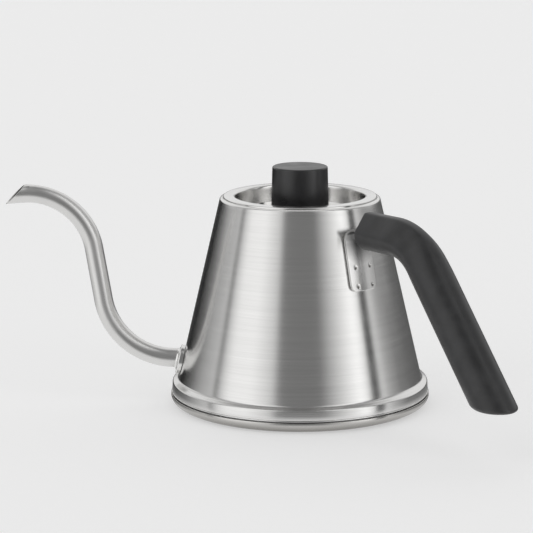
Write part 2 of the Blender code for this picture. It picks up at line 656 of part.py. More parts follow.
def build_lid(steel, plastic, brass):
    """Lid disc, its skirt and the knob, all on one empty at the seat."""
    frame = frame_at("lid_frame", Matrix.Identity(4))
    edge = SEAT_R - LID_CLEARANCE
    half = LID_T / 2
    plate = turned("lid_plate", [
        (HOLE_R, LID_TOP), (edge - half, LID_TOP), (edge, LID_TOP - half), (edge - half, LID_Z),
        (HOLE_R, LID_Z)], steel, frame)
    cut(plate, rod("vent_hole", VENT_R, LID_Z - OVERRUN, LID_TOP + OVERRUN, None, frame, (0, VENT_OFFSET)))

    turned("lid_skirt", filleted([
        (SKIRT_R - SKIRT_LEDGE, SKIRT_TOP, 0), (SKIRT_R, SKIRT_TOP, SKIRT_BEND_R),
        (SKIRT_R, SKIRT_TOP - SKIRT_DEPTH, 0)], segments=2), steel, frame, sheet=SHEET)

    knob_top = KNOB_Z + KNOB_H
    roof = knob_top - KNOB_WALL
    pocket_r = HOLE_R + INSERT_WALL + GAP
    boss_r = pocket_r + KNOB_BOSS_WALL
    pocket_top = KNOB_Z + KNOB_INSERT_H + 2 * GAP
    taper = (KNOB_FOOT_R - KNOB_TOP_R) / KNOB_H
    profile = filleted([
        (0, knob_top - KNOB_DISH, 0), (KNOB_TOP_R, knob_top, KNOB_EDGE_R),
        (KNOB_FOOT_R, KNOB_Z, 0)], segments=3)
    profile += [(KNOB_FOOT_R - KNOB_WALL, KNOB_Z),
                (KNOB_TOP_R + taper * KNOB_WALL - KNOB_WALL, roof),
                (boss_r, roof), (boss_r, KNOB_Z), (pocket_r, KNOB_Z), (pocket_r, pocket_top),
                (0, pocket_top)]
    turned("knob", profile, plastic, frame, steps=KNOB_STEPS)

    insert_low = KNOB_Z + GAP
    insert_top = insert_low + KNOB_INSERT_H
    turned("knob_insert", [
        (HOLE_R, insert_top), (HOLE_R + INSERT_WALL, insert_top),
        (HOLE_R + INSERT_WALL, insert_low), (HOLE_R, insert_low)], brass, frame,
        steps=SMALL_STEPS)
    washer_top = LID_Z - GAP
    turned("knob_washer", [
        (HOLE_R, washer_top), (WASHER_R, washer_top), (WASHER_R, washer_top - WASHER_T),
        (HOLE_R, washer_top - WASHER_T)], steel, frame, steps=SMALL_STEPS)
    head_low = washer_top - WASHER_T - GAP - HEAD_H
    screw("knob_screw", head_low, insert_top - TIP_SHORT, steel, frame)


empty_scene()
PARTS = new_collection("gooseneck_kettle")
CUTTERS = new_collection("cutters")

BRUSHED = finish("brushed_steel", (0.62, 0.61, 0.60), 0.32, 1.0)
POLISHED = finish("polished_steel", (0.74, 0.74, 0.73), 0.15, 1.0)
HARDWARE = finish("hardware_steel", (0.55, 0.55, 0.55), 0.35, 1.0)
ALUMINIUM = finish("aluminium", (0.77, 0.77, 0.78), 0.45, 1.0)
BRASS = finish("brass", (0.72, 0.55, 0.25), 0.35, 1.0)
PLASTIC = finish("black_plastic", (0.035, 0.036, 0.037), 0.42, 0.0)

WALL_CLEARANCE = turned("wall_clearance", [
    (0, SHOULDER_Z), (wall_radius(SHOULDER_Z) + GAP, SHOULDER_Z), (wall_radius(0) + GAP, 0),
    (0, 0)], None)

build_base(POLISHED, ALUMINIUM)
shell = build_body(BRUSHED)
build_collar(POLISHED)
build_spout(BRUSHED, shell)
handle_turn = math.radians(HANDLE_AZIMUTH) - math.pi / 2
handle_frame = frame_at("handle_frame", Matrix.Rotation(handle_turn, 4, "Z"))
grip_body = build_grip(PLASTIC, handle_frame)
build_strap(POLISHED, handle_frame)
build_fastenings(HARDWARE, BRASS, handle_frame, grip_body)
build_lid(BRUSHED, PLASTIC, BRASS)
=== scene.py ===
# %% [markdown]
# # The looks of a stovetop gooseneck kettle
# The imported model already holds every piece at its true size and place. This lesson makes the
# surfaces that are seen: steel sheet with its small bends, a drawn spout, a moulded handle. Almost
# every piece is a grid of points worked out by a formula, because pressed, drawn and turned metal
# is exactly that: one line carried round an axis or along a path.

# %% Load the frame
import math

import bmesh
import bpy
import numpy as np
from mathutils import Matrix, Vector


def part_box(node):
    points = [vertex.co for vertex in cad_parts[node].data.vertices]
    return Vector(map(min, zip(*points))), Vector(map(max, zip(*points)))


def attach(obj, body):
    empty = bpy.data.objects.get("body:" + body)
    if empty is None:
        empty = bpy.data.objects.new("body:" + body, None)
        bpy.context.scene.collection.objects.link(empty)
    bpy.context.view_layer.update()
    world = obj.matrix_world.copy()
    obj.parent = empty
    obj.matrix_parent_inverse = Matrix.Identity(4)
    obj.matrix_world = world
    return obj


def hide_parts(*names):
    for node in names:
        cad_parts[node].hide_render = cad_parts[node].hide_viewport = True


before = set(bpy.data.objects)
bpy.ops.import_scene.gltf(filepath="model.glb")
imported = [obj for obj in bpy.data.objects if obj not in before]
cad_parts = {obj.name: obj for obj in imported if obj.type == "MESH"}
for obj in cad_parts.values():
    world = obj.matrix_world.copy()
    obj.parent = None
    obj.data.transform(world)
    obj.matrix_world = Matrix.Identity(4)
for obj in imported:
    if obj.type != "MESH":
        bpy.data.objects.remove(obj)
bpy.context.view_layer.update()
MM = 0.001
GAP = 0.3                       # left between pieces that touch

# %% [markdown]
# ## Tools for grids of points
# Each surface is a grid with rows and columns. Neighbouring points are joined by four-sided faces,
# and the last row or column may meet the first again. The grid also carries a UV map in
# millimetres, along and across, so that brush marks can follow the surface round a bend.

# %% Measure the frame
def span(node):
    """Lowest and highest corner of a CAD node, in millimetres."""
    low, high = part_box(node)
    return np.array(low) / MM, np.array(high) / MM


BASE_HIGH = span("base_cap")[1]
FLOOR_HIGH = span("vessel_floor")[1]
SHELL_LOW, SHELL_HIGH = span("body_shell")
COLLAR_HIGH = span("top_collar")[1]
print("base ring radius and height:", BASE_HIGH[0].round(2), BASE_HIGH[2].round(2))
print("rim radius and height:", COLLAR_HIGH[0].round(2), COLLAR_HIGH[2].round(2))


# %% Join a grid into an object
def lengths_along(grid, axis):
    """Distance travelled along one direction of a grid, taken on the line that is longest."""
    steps = np.linalg.norm(np.diff(grid, axis=axis, append=np.take(grid, [0], axis)), axis=-1)
    totals = steps.sum(axis=axis)
    line = np.take(steps, int(np.argmax(totals)), axis=1 - axis)
    return np.concatenate([[0.0], np.cumsum(line)])


def tidy(mesh):
    """Merge points that coincide, such as a pole, and turn every face outwards."""
    work = bmesh.new()
    work.from_mesh(mesh)
    bmesh.ops.remove_doubles(work, verts=work.verts, dist=1e-6)
    bmesh.ops.dissolve_degenerate(work, edges=work.edges, dist=1e-7)
    bmesh.ops.recalc_face_normals(work, faces=work.faces)
    work.to_mesh(mesh)
    work.free()


def surface(name, grid, wrap_rows=False, wrap_columns=True):
    """Object whose faces join each point (i, j) to (i, j+1), (i+1, j+1) and (i+1, j).

    UV map "grain" holds the distance along the columns and along the rows, in millimetres.
    """
    rows, columns, _ = grid.shape
    i, j = np.meshgrid(np.arange(rows if wrap_rows else rows - 1),
                       np.arange(columns if wrap_columns else columns - 1), indexing="ij")
    row = np.stack([i, i, i + 1, i + 1], axis=-1).reshape(-1, 4)
    column = np.stack([j, j + 1, j + 1, j], axis=-1).reshape(-1, 4)
    faces = (row % rows) * columns + column % columns
    mesh = bpy.data.meshes.new(name)
    mesh.from_pydata((grid.reshape(-1, 3) * MM).tolist(), [], faces.tolist())
    around = lengths_along(grid, 1)[column.ravel()]
    along = lengths_along(grid, 0)[row.ravel()]
    uv = mesh.uv_layers.new(name="grain")
    uv.data.foreach_set("uv", np.stack([around, along], axis=-1).astype(np.float32).ravel())
    tidy(mesh)
    obj = bpy.data.objects.new(name, mesh)
    bpy.context.scene.collection.objects.link(obj)
    return obj


# %% [markdown]
# ## Lines with rounded corners
# Sheet metal is folded, so its section is straight runs joined by arcs. One helper rounds the
# corners of such a line, and another gives the line the thickness of the sheet, with the cut edges
# slightly rounded, as a finishing wheel leaves them.

# %% Round the corners of a line
def rounded(corners, turn_step=9.0):
    """Straight lines through corners (x, z, radius), each corner replaced by an arc.

    The arc touches both lines at radius / tan(half the corner's angle) from the corner. Its points
    are its centre plus the first spoke turned by equal angles of at most turn_step degrees.
    """
    route = []
    for index, (x, z, radius) in enumerate(corners):
        here = np.array([x, z], float)
        if radius == 0:
            route.append(here[None])
            continue
        back = np.array(corners[index - 1][:2], float) - here
        ahead = np.array(corners[index + 1][:2], float) - here
        back /= np.hypot(*back)
        ahead /= np.hypot(*ahead)
        half = math.acos(float(np.clip(back @ ahead, -1, 1))) / 2
        middle = (back + ahead) / np.hypot(*(back + ahead))
        centre = here + middle * radius / math.sin(half)
        spoke = here + back * radius / math.tan(half) - centre
        turn = math.copysign(math.pi - 2 * half, back[1] * ahead[0] - back[0] * ahead[1])
        steps = max(2, math.ceil(abs(math.degrees(turn)) / turn_step))
        angle = np.linspace(0, turn, steps + 1)[:, None]
        quarter = np.array([-spoke[1], spoke[0]])
        route.append(centre + np.cos(angle) * spoke + np.sin(angle) * quarter)
    return np.concatenate(route)


def divided(line, step):
    """The same line with extra points, so that no two lie further apart than step."""
    gaps = np.hypot(*np.diff(line, axis=0).T)
    counts = np.maximum(1, np.ceil(gaps / step)).astype(int)
    start = np.repeat(line[:-1], counts, axis=0)
    move = np.repeat(np.diff(line, axis=0), counts, axis=0)
    share = np.concatenate([np.arange(count) / count for count in counts])[:, None]
    return np.concatenate([start + move * share, line[-1:]])


def sheet(line, thickness):
    """Closed loop round a line: the line, a half round, the line shifted to its right, a half round."""
    ahead = np.gradient(line, axis=0)
    ahead /= np.hypot(*ahead.T)[:, None]
    side = np.stack([ahead[:, 1], -ahead[:, 0]], axis=-1)
    turn = np.linspace(0, math.pi, 7)[1:-1, None]

    def end(point, forward, across):
        """Half round: centre + (forward sin a - across cos a) * half the thickness."""
        centre = point + across * thickness / 2
        return centre + (forward * np.sin(turn) - across * np.cos(turn)) * thickness / 2

    far = end(line[-1], ahead[-1], side[-1])
    near = end(line[0], -ahead[0], side[0])[::-1]
    return np.concatenate([line, far, (line + side * thickness)[::-1], near])


# %% Turn a line about the kettle's axis
ROUND_SIDES = 192


def turned(name, line, sides=ROUND_SIDES, closed=False, at=(0.0, 0.0)):
    """Sweep (radius, height) points round an upright axis through at.

    x = at x + radius cos a, y = at y + radius sin a, z = height.
    """
    angle = np.arange(sides) * 2 * math.pi / sides
    radius = line[:, :1]
    grid = np.stack([at[0] + radius * np.cos(angle), at[1] + radius * np.sin(angle),
                     np.broadcast_to(line[:, 1:], (len(line), sides))], axis=-1)
    return surface(name, grid, wrap_rows=closed)


# %% Carve with a cutter
def carve(obj, cutter):
    """Cut one object with another for good, and remove the cutter."""
    boolean = obj.modifiers.new("Carve", "BOOLEAN")
    boolean.operation = "DIFFERENCE"
    boolean.solver = "EXACT"
    boolean.object = cutter
    graph = bpy.context.evaluated_depsgraph_get()
    mesh = bpy.data.meshes.new_from_object(
        obj.evaluated_get(graph), preserve_all_data_layers=True, depsgraph=graph)
    obj.modifiers.clear()
    obj.data = mesh
    bpy.data.objects.remove(cutter, do_unlink=True)


# %% [markdown]
# ## The vessel
# The base ring is a deep pressed cap, the floor shows as a thin bright bead above it, and the wall
# is one cone of sheet with a small shoulder at the top and a flare at the foot. Each one is a line
# turned about the axis. The rounded lips matter most: they catch the light as thin bright lines.

# %% Base cap and floor
BASE_EDGE_RUN = 5.6
BASE_EDGE_RISE = 4.6
BASE_WALL = 0.9
BASE_LIP_R = 0.45
FLOOR_T = 0.8


def quarter_ellipse(centre, run, rise, steps=14):
    """From the side to the underside: centre plus run cos a sideways and minus rise sin a down."""
    angle = np.linspace(0, math.pi / 2, steps + 1)
    return np.stack([centre[0] + run * np.cos(angle), centre[1] - rise * np.sin(angle)], axis=-1)


base_r, base_h = BASE_HIGH[0], BASE_HIGH[2]
arc_centre = (base_r - BASE_EDGE_RUN, BASE_EDGE_RISE)
outside = quarter_ellipse(arc_centre, BASE_EDGE_RUN, BASE_EDGE_RISE)
inside = quarter_ellipse(arc_centre, BASE_EDGE_RUN - BASE_WALL, BASE_EDGE_RISE - BASE_WALL)
lip = rounded([(base_r - BASE_WALL, arc_centre[1], 0), (base_r - BASE_WALL, base_h, BASE_LIP_R * 0.9),
               (base_r, base_h, BASE_LIP_R), (base_r, arc_centre[1], 0)], 15)
GROOVE = 0.15                   # the lips beside the groove are filed back by this
lip[:, 1] = np.minimum(lip[:, 1], base_h - GROOVE)
base_line = np.concatenate([[[0, BASE_WALL]], inside[::-1], lip[1:-1], outside, [[0, 0]]])
base = turned("base_cap_polished", divided(base_line, 6.0))

floor_r, floor_z = FLOOR_HIGH[0], FLOOR_HIGH[2] - FLOOR_T
floor_line = np.concatenate([[[0, floor_z + FLOOR_T]], rounded([
    (floor_r - 2, floor_z + FLOOR_T, 0), (floor_r, floor_z + FLOOR_T, FLOOR_T * 0.39),
    (floor_r, floor_z + GROOVE, FLOOR_T * 0.39), (floor_r - 2, floor_z, 0)], 15),
    [[0, floor_z]]])
vessel_floor = turned("vessel_floor_disc", divided(floor_line, 8.0))
print("base and floor faces:", len(base.data.polygons), len(vessel_floor.data.polygons))

# %% Cone with its shoulder and flare
SHEET = 0.6
FOOT_DRAFT = 0.25
FOOT_TURN_H = 5.0
FLARE_H = 6.2
FLARE_OUT = 3.55
FLARE_BEND_R = 2.0
FOOT_BEND_R = 1.2
SHOULDER_BEND_R = 1.1
SEAM = 0.5
SHOULDER_W = 1.3
SHOULDER_RISE = 0.5

foot_r, foot_z = SHELL_HIGH[0], SHELL_LOW[2]
shoulder_z = SHELL_HIGH[2] - SHOULDER_RISE
cone_foot = (foot_r - FLARE_OUT, foot_z + FLARE_H)
cone_top = (COLLAR_HIGH[0] + SEAM + SHOULDER_W, shoulder_z)
CONE_SLOPE = (cone_foot[0] - cone_top[0]) / (cone_top[1] - cone_foot[1])


def wall_radius(z):
    """Outside radius of the cone at height z: it shrinks by CONE_SLOPE for each unit of height."""
    return cone_foot[0] - CONE_SLOPE * (z - cone_foot[1])


shell_line = rounded([
    (COLLAR_HIGH[0] + SEAM, SHELL_HIGH[2], 0), (*cone_top, SHOULDER_BEND_R),
    (*cone_foot, FLARE_BEND_R), (foot_r - FOOT_DRAFT, foot_z + FOOT_TURN_H, FOOT_BEND_R),
    (foot_r, foot_z, 0)], 6)
shell = turned("body_cone", sheet(divided(shell_line, 2.5), SHEET), closed=True)
print("cone slope, degrees:", round(math.degrees(math.atan(CONE_SLOPE)), 2))

# %% Collar: rim, well and seat
COLLAR_SHEET = 0.7
RIM_W = 6.2
RIM_FALL = 0.15
WELL_DEPTH = 10.0
WELL_DRAFT = 0.7
SEAT_W = 5.2
MOUTH_LIP = 4.0
COLLAR_HANG = 3.4

rim_r, rim_z = COLLAR_HIGH[0], COLLAR_HIGH[2]
well_r = rim_r - RIM_W
seat_r = well_r - WELL_DRAFT
mouth_r = seat_r - SEAT_W
seat_z = rim_z - WELL_DEPTH
collar_line = rounded([
    (mouth_r, seat_z - MOUTH_LIP, 0), (mouth_r, seat_z, 1.0), (seat_r, seat_z, 0.8),
    (well_r, rim_z, 1.2), (rim_r, rim_z - RIM_FALL, 0.6), (rim_r, rim_z - COLLAR_HANG, 0)], 10)
collar = turned("rim_and_lid_well", sheet(divided(collar_line, 1.5), COLLAR_SHEET), closed=True)
print("mouth, seat and rim radii:", mouth_r.round(1), seat_r.round(1), rim_r.round(1))

# %% [markdown]
# ## The spout
# A swan neck is one tube pulled round two bends. Its centreline is a flat line with rounded
# corners, so each ring of the tube stands square to it, and the wall is made by running the rings
# down the outside, over the lip and back up the bore. The mouth is cut on a slant: the last rings
# slide along the tube until they lie in the plane of the cut.

# %% Centreline of the spout
SPOUT_ROOT_R = 5.2
SPOUT_TIP_R = 4.8
SPOUT_WALL = 0.5
SPOUT_HEIGHT = 23.2
SPOUT_RISE = math.radians(3.5)
SPOUT_RUN = 37.6
SPOUT_LOWER_BEND_R = 38.5
SPOUT_LEAN = math.radians(9.3)
SPOUT_OVER_RIM = 0.6
SPOUT_UPPER_BEND_R = 35.6
SPOUT_DROOP = math.radians(5.0)
SPOUT_OUT = 88.8
SPOUT_CUT = math.radians(45.6)
SPOUT_SKEW = math.radians(6.0)  # the saw cut leans a little, so the bore shows from the front
SPOUT_INSIDE = 2.0

root_wall = wall_radius(SPOUT_HEIGHT)
start_x = root_wall - SHEET - SPOUT_INSIDE
corner_x = root_wall + SPOUT_RUN
corner_z = SPOUT_HEIGHT + SPOUT_RUN * math.tan(SPOUT_RISE)
top_z = rim_z + SPOUT_OVER_RIM
bend_z = top_z - SPOUT_UPPER_BEND_R * (1 - math.sin(SPOUT_LEAN))
bend_x = corner_x + (bend_z - corner_z) * math.tan(SPOUT_LEAN)
# The upper bend's corner lies where its two tangents meet.
upper_turn = math.pi / 2 + SPOUT_DROOP - SPOUT_LEAN
tangent = SPOUT_UPPER_BEND_R * math.tan(upper_turn / 2)
upper_x = bend_x + tangent * math.sin(SPOUT_LEAN)
upper_z = bend_z + tangent * math.cos(SPOUT_LEAN)
mouth_x = root_wall + SPOUT_OUT
mouth_z = upper_z - (mouth_x - upper_x) * math.tan(SPOUT_DROOP)
spout_line = divided(rounded([
    (start_x, SPOUT_HEIGHT + (start_x - root_wall) * math.tan(SPOUT_RISE), 0),
    (corner_x, corner_z, SPOUT_LOWER_BEND_R), (upper_x, upper_z, SPOUT_UPPER_BEND_R),
    (mouth_x, mouth_z, 0)], 2.0), 1.5)
print("spout centreline, mm:", round(float(np.hypot(*np.diff(spout_line, axis=0).T).sum()), 1))


# %% Tube along the centreline
TUBE_SIDES = 64
CUT_RINGS = 8                   # rings that lean over towards the slanted cut
TUBE_LIP_R = 0.16


def tube_rings(line, radius, sides=TUBE_SIDES):
    """Rings square to an (x, z) line: centre + radius (cos a * side + sin a * Y)."""
    ahead = np.gradient(line, axis=0)
    ahead /= np.hypot(*ahead.T)[:, None]
    angle = np.arange(sides) * 2 * math.pi / sides
    across = np.cos(angle) * radius[:, None]
    return np.stack([line[:, :1] - ahead[:, 1:] * across, np.sin(angle) * radius[:, None],
                     line[:, 1:] + ahead[:, :1] * across], axis=-1)


def cut_on_slant(rings, heading, point, normal):
    """Slide the last rings along the heading, a growing share each, until the last lies in a plane."""
    shift = ((point - rings[-1]) @ normal / (heading @ normal))[:, None] * heading
    share = np.zeros(len(rings))
    share[-CUT_RINGS:] = np.linspace(0, 1, CUT_RINGS)
    return rings + share[:, None, None] * shift


spout_share = np.concatenate([[0], np.cumsum(np.hypot(*np.diff(spout_line, axis=0).T))])
spout_radius = SPOUT_ROOT_R + (SPOUT_TIP_R - SPOUT_ROOT_R) * spout_share / spout_share[-1]
tip_heading = np.array([math.cos(SPOUT_DROOP), 0, -math.sin(SPOUT_DROOP)])
cut_normal = np.array([math.sin(SPOUT_CUT) * math.cos(SPOUT_SKEW),
                       math.sin(SPOUT_CUT) * math.sin(SPOUT_SKEW), math.cos(SPOUT_CUT)])
mouth_point = np.array([mouth_x, 0, mouth_z])
outer = tube_rings(spout_line, spout_radius)
inner = tube_rings(spout_line, spout_radius - SPOUT_WALL)
lip_outer = cut_on_slant(outer, tip_heading, mouth_point - tip_heading * TUBE_LIP_R, cut_normal)
lip_inner = cut_on_slant(inner, tip_heading, mouth_point - tip_heading * TUBE_LIP_R, cut_normal)
rim_rings = [lip_outer[-1] * (1 - share) + lip_inner[-1] * share + tip_heading * TUBE_LIP_R
             for share in (0.3, 0.7)]
spout_grid = np.concatenate([lip_outer, rim_rings, lip_inner[::-1]])
spout_grid[..., :2] *= -1       # the spout leaves towards -X
spout = surface("swan_neck_spout", spout_grid, wrap_rows=True)
print("spout reaches x =", round(float(spout_grid[..., 0].min()), 1))

# %% [markdown]
# ## The ring at the spout's root
# A thick washer is welded over the joint. Its underside follows the cone, its outer edge is round,
# and the weld fills the corner between washer and tube. The formula works in the plane of the
# wall: u runs level, v runs up the slope, and h stands out from the wall.

# %% Washer with its weld
FLANGE_R = 8.1
FLANGE_DROP = 1.0
FLANGE_T = 2.4
FLANGE_EDGE_R = 0.8
FLANGE_SUNK = 0.9               # the section starts this far below the wall, then is laid on it
WELD_R = 1.3
FLANGE_SIDES = 96

wall_angle = math.atan(CONE_SLOPE)
flange_z = SPOUT_HEIGHT - FLANGE_DROP
flange_x = wall_radius(flange_z)
up_slope = np.array([-math.sin(wall_angle), 0, math.cos(wall_angle)])
off_wall = np.array([math.cos(wall_angle), 0, math.sin(wall_angle)])
level_way = np.array([0.0, 1.0, 0.0])
tube_heading = np.array([math.cos(SPOUT_RISE), 0, math.sin(SPOUT_RISE)])
tube_point = np.array([root_wall, 0, SPOUT_HEIGHT]) - np.array([flange_x, 0, flange_z])
tube_lean = (tube_heading @ up_slope) / (tube_heading @ off_wall)
tube_start = tube_point @ up_slope - (tube_point @ off_wall) * tube_lean

ring_w = FLANGE_R - SPOUT_ROOT_R - GAP
section = np.concatenate([
    [[0.0, -FLANGE_SUNK]], rounded([(0.0, FLANGE_T + WELD_R, 0), (0.3, FLANGE_T, WELD_R * 0.8),
                            (ring_w, FLANGE_T, FLANGE_EDGE_R), (ring_w, -FLANGE_SUNK, 0)], 12)])
weld_share = np.clip((section[:, 1] - FLANGE_T) / WELD_R, 0, 1)
spoke_angle = np.arange(FLANGE_SIDES) * 2 * math.pi / FLANGE_SIDES
height = np.broadcast_to(section[:, 1:], (len(section), FLANGE_SIDES))
hole_rim_r = SPOUT_ROOT_R + GAP * (1 - weld_share[:, None] * 0.9)
hole_v = tube_start + height * tube_lean
hole_edge = np.stack([hole_rim_r * np.cos(spoke_angle),
                      hole_v + hole_rim_r * np.sin(spoke_angle)], axis=-1)
flange_edge = FLANGE_R * np.stack([np.cos(spoke_angle), np.sin(spoke_angle)], axis=-1)
reach = section[:, 0][:, None, None] / ring_w
plan = hole_edge * (1 - reach) + flange_edge * reach
wall_sag = plan[..., 0] ** 2 / (2 * flange_x)
on_wall = np.where(height < 0, GAP - wall_sag, np.maximum(height, GAP - wall_sag))
flange_grid = (np.array([flange_x, 0, flange_z]) + plan[..., :1] * level_way
               + plan[..., 1:] * up_slope + on_wall[..., None] * off_wall)
flange_grid[..., :2] *= -1
flange = surface("spout_root_ring", flange_grid, wrap_rows=True)
print("root ring faces:", len(flange.data.polygons))


# %% Open the wall for the tube
def closed_ends(rings):
    """Add a pole to both ends of a stack of rings: every point at the middle of the end ring."""
    first = np.broadcast_to(rings[:1].mean(axis=1, keepdims=True), rings[:1].shape)
    last = np.broadcast_to(rings[-1:].mean(axis=1, keepdims=True), rings[-1:].shape)
    return np.concatenate([first, rings, last])


hole_x = np.array([start_x - 4.0, root_wall + 3.0])
hole_line = np.stack([hole_x, SPOUT_HEIGHT + (hole_x - root_wall) * math.tan(SPOUT_RISE)], axis=-1)
hole_rings = tube_rings(hole_line, np.full(2, SPOUT_ROOT_R + GAP))
hole_rings[..., :2] *= -1
carve(shell, surface("spout_hole", closed_ends(hole_rings)))
print("wall faces once opened:", len(shell.data.polygons))

# %% [markdown]
# ## The handle
# The grip is one moulding: a roofed neck with a crease down its middle that melts into a plain
# oval, bent once and cut off almost level. Every section has the same number of points, so the
# whole skin is one grid. The formula of a section is a soft minimum: of the distances, in each
# direction, to the oval belly, to the sloping roof and to its narrow flat top.

# %% Path of the handle
HANDLE_TURN = math.radians(39.0 - 90.0)
HANDLE_STANDOFF = 10.8
HANDLE_DROP = 11.4
HANDLE_RUN = 36.6
HANDLE_BEND_R = 30.0
GRIP_SLOPE = math.radians(38.5)
GRIP_END_Z = 26.0

handle_z = rim_z - HANDLE_DROP
handle_start = wall_radius(handle_z) + HANDLE_STANDOFF
handle_corner = handle_start + HANDLE_RUN
bend_turn = math.pi / 2 - GRIP_SLOPE
bend_tangent = HANDLE_BEND_R * math.tan(bend_turn / 2)
LEVEL = handle_corner - bend_tangent - handle_start
BEND = HANDLE_BEND_R * bend_turn
GRIP = (handle_z - bend_tangent * math.cos(GRIP_SLOPE) - GRIP_END_Z) / math.cos(GRIP_SLOPE)
TOTAL = LEVEL + BEND + GRIP


def by_handle(points):
    """Turn points from the handle's own plane, x outwards, to its place round the kettle."""
    x, y, z = np.moveaxis(np.asarray(points, float), -1, 0)
    cos, sin = math.cos(HANDLE_TURN), math.sin(HANDLE_TURN)
    return np.stack([x * cos - y * sin, x * sin + y * cos, z], axis=-1)


def handle_at(s):
    """Centre (x, z) and heading below level: straight, an arc, and straight again."""
    angle = np.clip((s - LEVEL) / HANDLE_BEND_R, 0, bend_turn)
    rest = np.maximum(s - LEVEL - BEND, 0)
    x = handle_start + np.minimum(s, LEVEL) + HANDLE_BEND_R * np.sin(angle)
    z = handle_z - HANDLE_BEND_R * (1 - np.cos(angle))
    return x + rest * math.sin(GRIP_SLOPE), z - rest * math.cos(GRIP_SLOPE), angle


print("handle: level", round(LEVEL, 1), "bend", round(BEND, 1), "grip", round(GRIP, 1), "mm")

# %% Sections of the handle
GRIP_HALF_WIDTH = 10.8
GRIP_HALF_DEPTH = 10.5
NECK_HALF_WIDTH = 9.75
NECK_HALF_DEPTH = 10.1
RIDGE_CORNER = 2.4
ROOF_POWER = 36
BLEND_PAST = 1.4
GRIP_END_SLOPE = math.radians(1.5)
END_TURN_FROM = 34.0
END_TURN_RUN = 28.0
GRIP_SIDES = 112


def smooth(share):
    """Ease from 0 to 1: 3 t^2 - 2 t^3."""
    share = np.clip(share, 0, 1)
    return share * share * (3 - 2 * share)


def handle_section(weight, inset):
    """Points round the section, from the roofed neck (weight 0) to the oval grip (weight 1).

    Neck radius = (belly^-p + roof^-p + top^-p)^(-1/p), where each term is the distance to that
    line in the direction of the angle. The oval's radius is mixed in by weight.
    """
    theta = (np.arange(GRIP_SIDES) + 0.5) * 2 * math.pi / GRIP_SIDES
    u, v = np.abs(np.cos(theta)), np.sin(theta)
    oval = 1 / np.hypot(u / (GRIP_HALF_WIDTH - inset), v / (GRIP_HALF_DEPTH - inset))
    belly = np.hypot(u / (NECK_HALF_WIDTH - inset), v / (NECK_HALF_DEPTH - inset))
    roof = np.array([NECK_HALF_DEPTH, NECK_HALF_WIDTH - RIDGE_CORNER])
    roof /= np.hypot(*roof)
    slope = (roof[0] * u + roof[1] * v) / (roof[0] * NECK_HALF_WIDTH - inset)
    top = v / (NECK_HALF_DEPTH - inset)
    terms = np.maximum(np.stack(np.broadcast_arrays(belly, slope, top)), 0)
    neck = np.sum(terms ** ROOF_POWER, axis=0) ** (-1 / ROOF_POWER)
    radius = neck * (1 - weight) + oval * weight
    return radius * np.cos(theta), radius * np.sin(theta)


def handle_rings(s, inset, lift=0.0):
    """Rings at lengths s along the path, inset from the skin; the planes turn level at the end."""
    s, inset = (np.asarray(part, float)[:, None] for part in np.broadcast_arrays(s, inset))
    x, z, angle = handle_at(s - lift)
    weight = smooth((s - LEVEL / 2) / (LEVEL / 2 + BEND * BLEND_PAST))
    u, v = handle_section(weight, inset)
    upright = math.pi / 2 - angle
    plane = upright + (GRIP_END_SLOPE - upright) * smooth((s - TOTAL + END_TURN_FROM) / END_TURN_RUN)
    v = v / np.cos(upright - plane)
    return by_handle(np.stack([x + v * np.cos(plane), u, z + v * np.sin(plane)], axis=-1))


# %% Grip with its hollow
NECK_EDGE_R = 0.5
GRIP_EDGE_R = 3.2
GRIP_WALL = 4.6
GRIP_HOLLOW = 62.0
HOLLOW_LIP_R = 0.5

quarter = np.linspace(0, math.pi / 2, 9)
skin_s = np.concatenate([
    NECK_EDGE_R * (1 - np.cos(quarter)), np.arange(NECK_EDGE_R + 1.2, TOTAL - GRIP_EDGE_R, 1.2),
    TOTAL - GRIP_EDGE_R * (1 - np.sin(quarter)), [TOTAL],
    TOTAL - HOLLOW_LIP_R * (1 - np.cos(quarter)), [TOTAL - GRIP_HOLLOW / 2, TOTAL - GRIP_HOLLOW]])
skin_inset = np.zeros(len(skin_s))
skin_inset[:9] = NECK_EDGE_R * (1 - np.sin(quarter))
skin_inset[-21:-12] = GRIP_EDGE_R * (1 - np.cos(quarter))
skin_inset[-12] = (GRIP_EDGE_R + GRIP_WALL - HOLLOW_LIP_R) / 2
skin_inset[-11:-2] = GRIP_WALL - HOLLOW_LIP_R * (1 - np.sin(quarter))
skin_inset[-2:] = GRIP_WALL
grip = surface("moulded_grip", closed_ends(handle_rings(skin_s, skin_inset)))
print("grip faces:", len(grip.data.polygons))

# %% Plug in the open end
CAP_T = 4.0
CAP_INSET = 0.6
CAP_EDGE_R = 0.6

plug_s = np.concatenate([[TOTAL - CAP_T, TOTAL - 2], TOTAL - CAP_EDGE_R * (1 - np.sin(quarter))])
plug_inset = GRIP_WALL + GAP + np.zeros(len(plug_s))
plug_inset[2:] += CAP_EDGE_R * (1 - np.cos(quarter))
end_plug = surface("grip_end_plug", closed_ends(handle_rings(plug_s, plug_inset, CAP_INSET)))
print("plug faces:", len(end_plug.data.polygons))

# %% [markdown]
# ## The strap
# A stamped strip of thick steel is welded flat on the cone, follows its curve, and bends over into
# a tongue that the handle slides on. The four small hollows are the marks of the spot welder, a
# drop of the surface that falls away as a bell curve round each spot.

# %% Strip along its line
STRAP_W = 17.5
STRAP_T = 1.5
STRAP_LENGTH = 32.2
STRAP_CORNER_R = 3.5
STRAP_BEND_R = 6.0
STRAP_EDGE_R = 0.35
TONGUE_W = 11.0
TONGUE_LENGTH = 24.0
TONGUE_STEP = 0.6
WELD_SPOTS = ((-4.4, 12.5), (5.2, 12.5), (-4.4, 2.6), (5.2, 2.6))
SPOT_DEPTH = 0.35
SPOT_R = 0.6

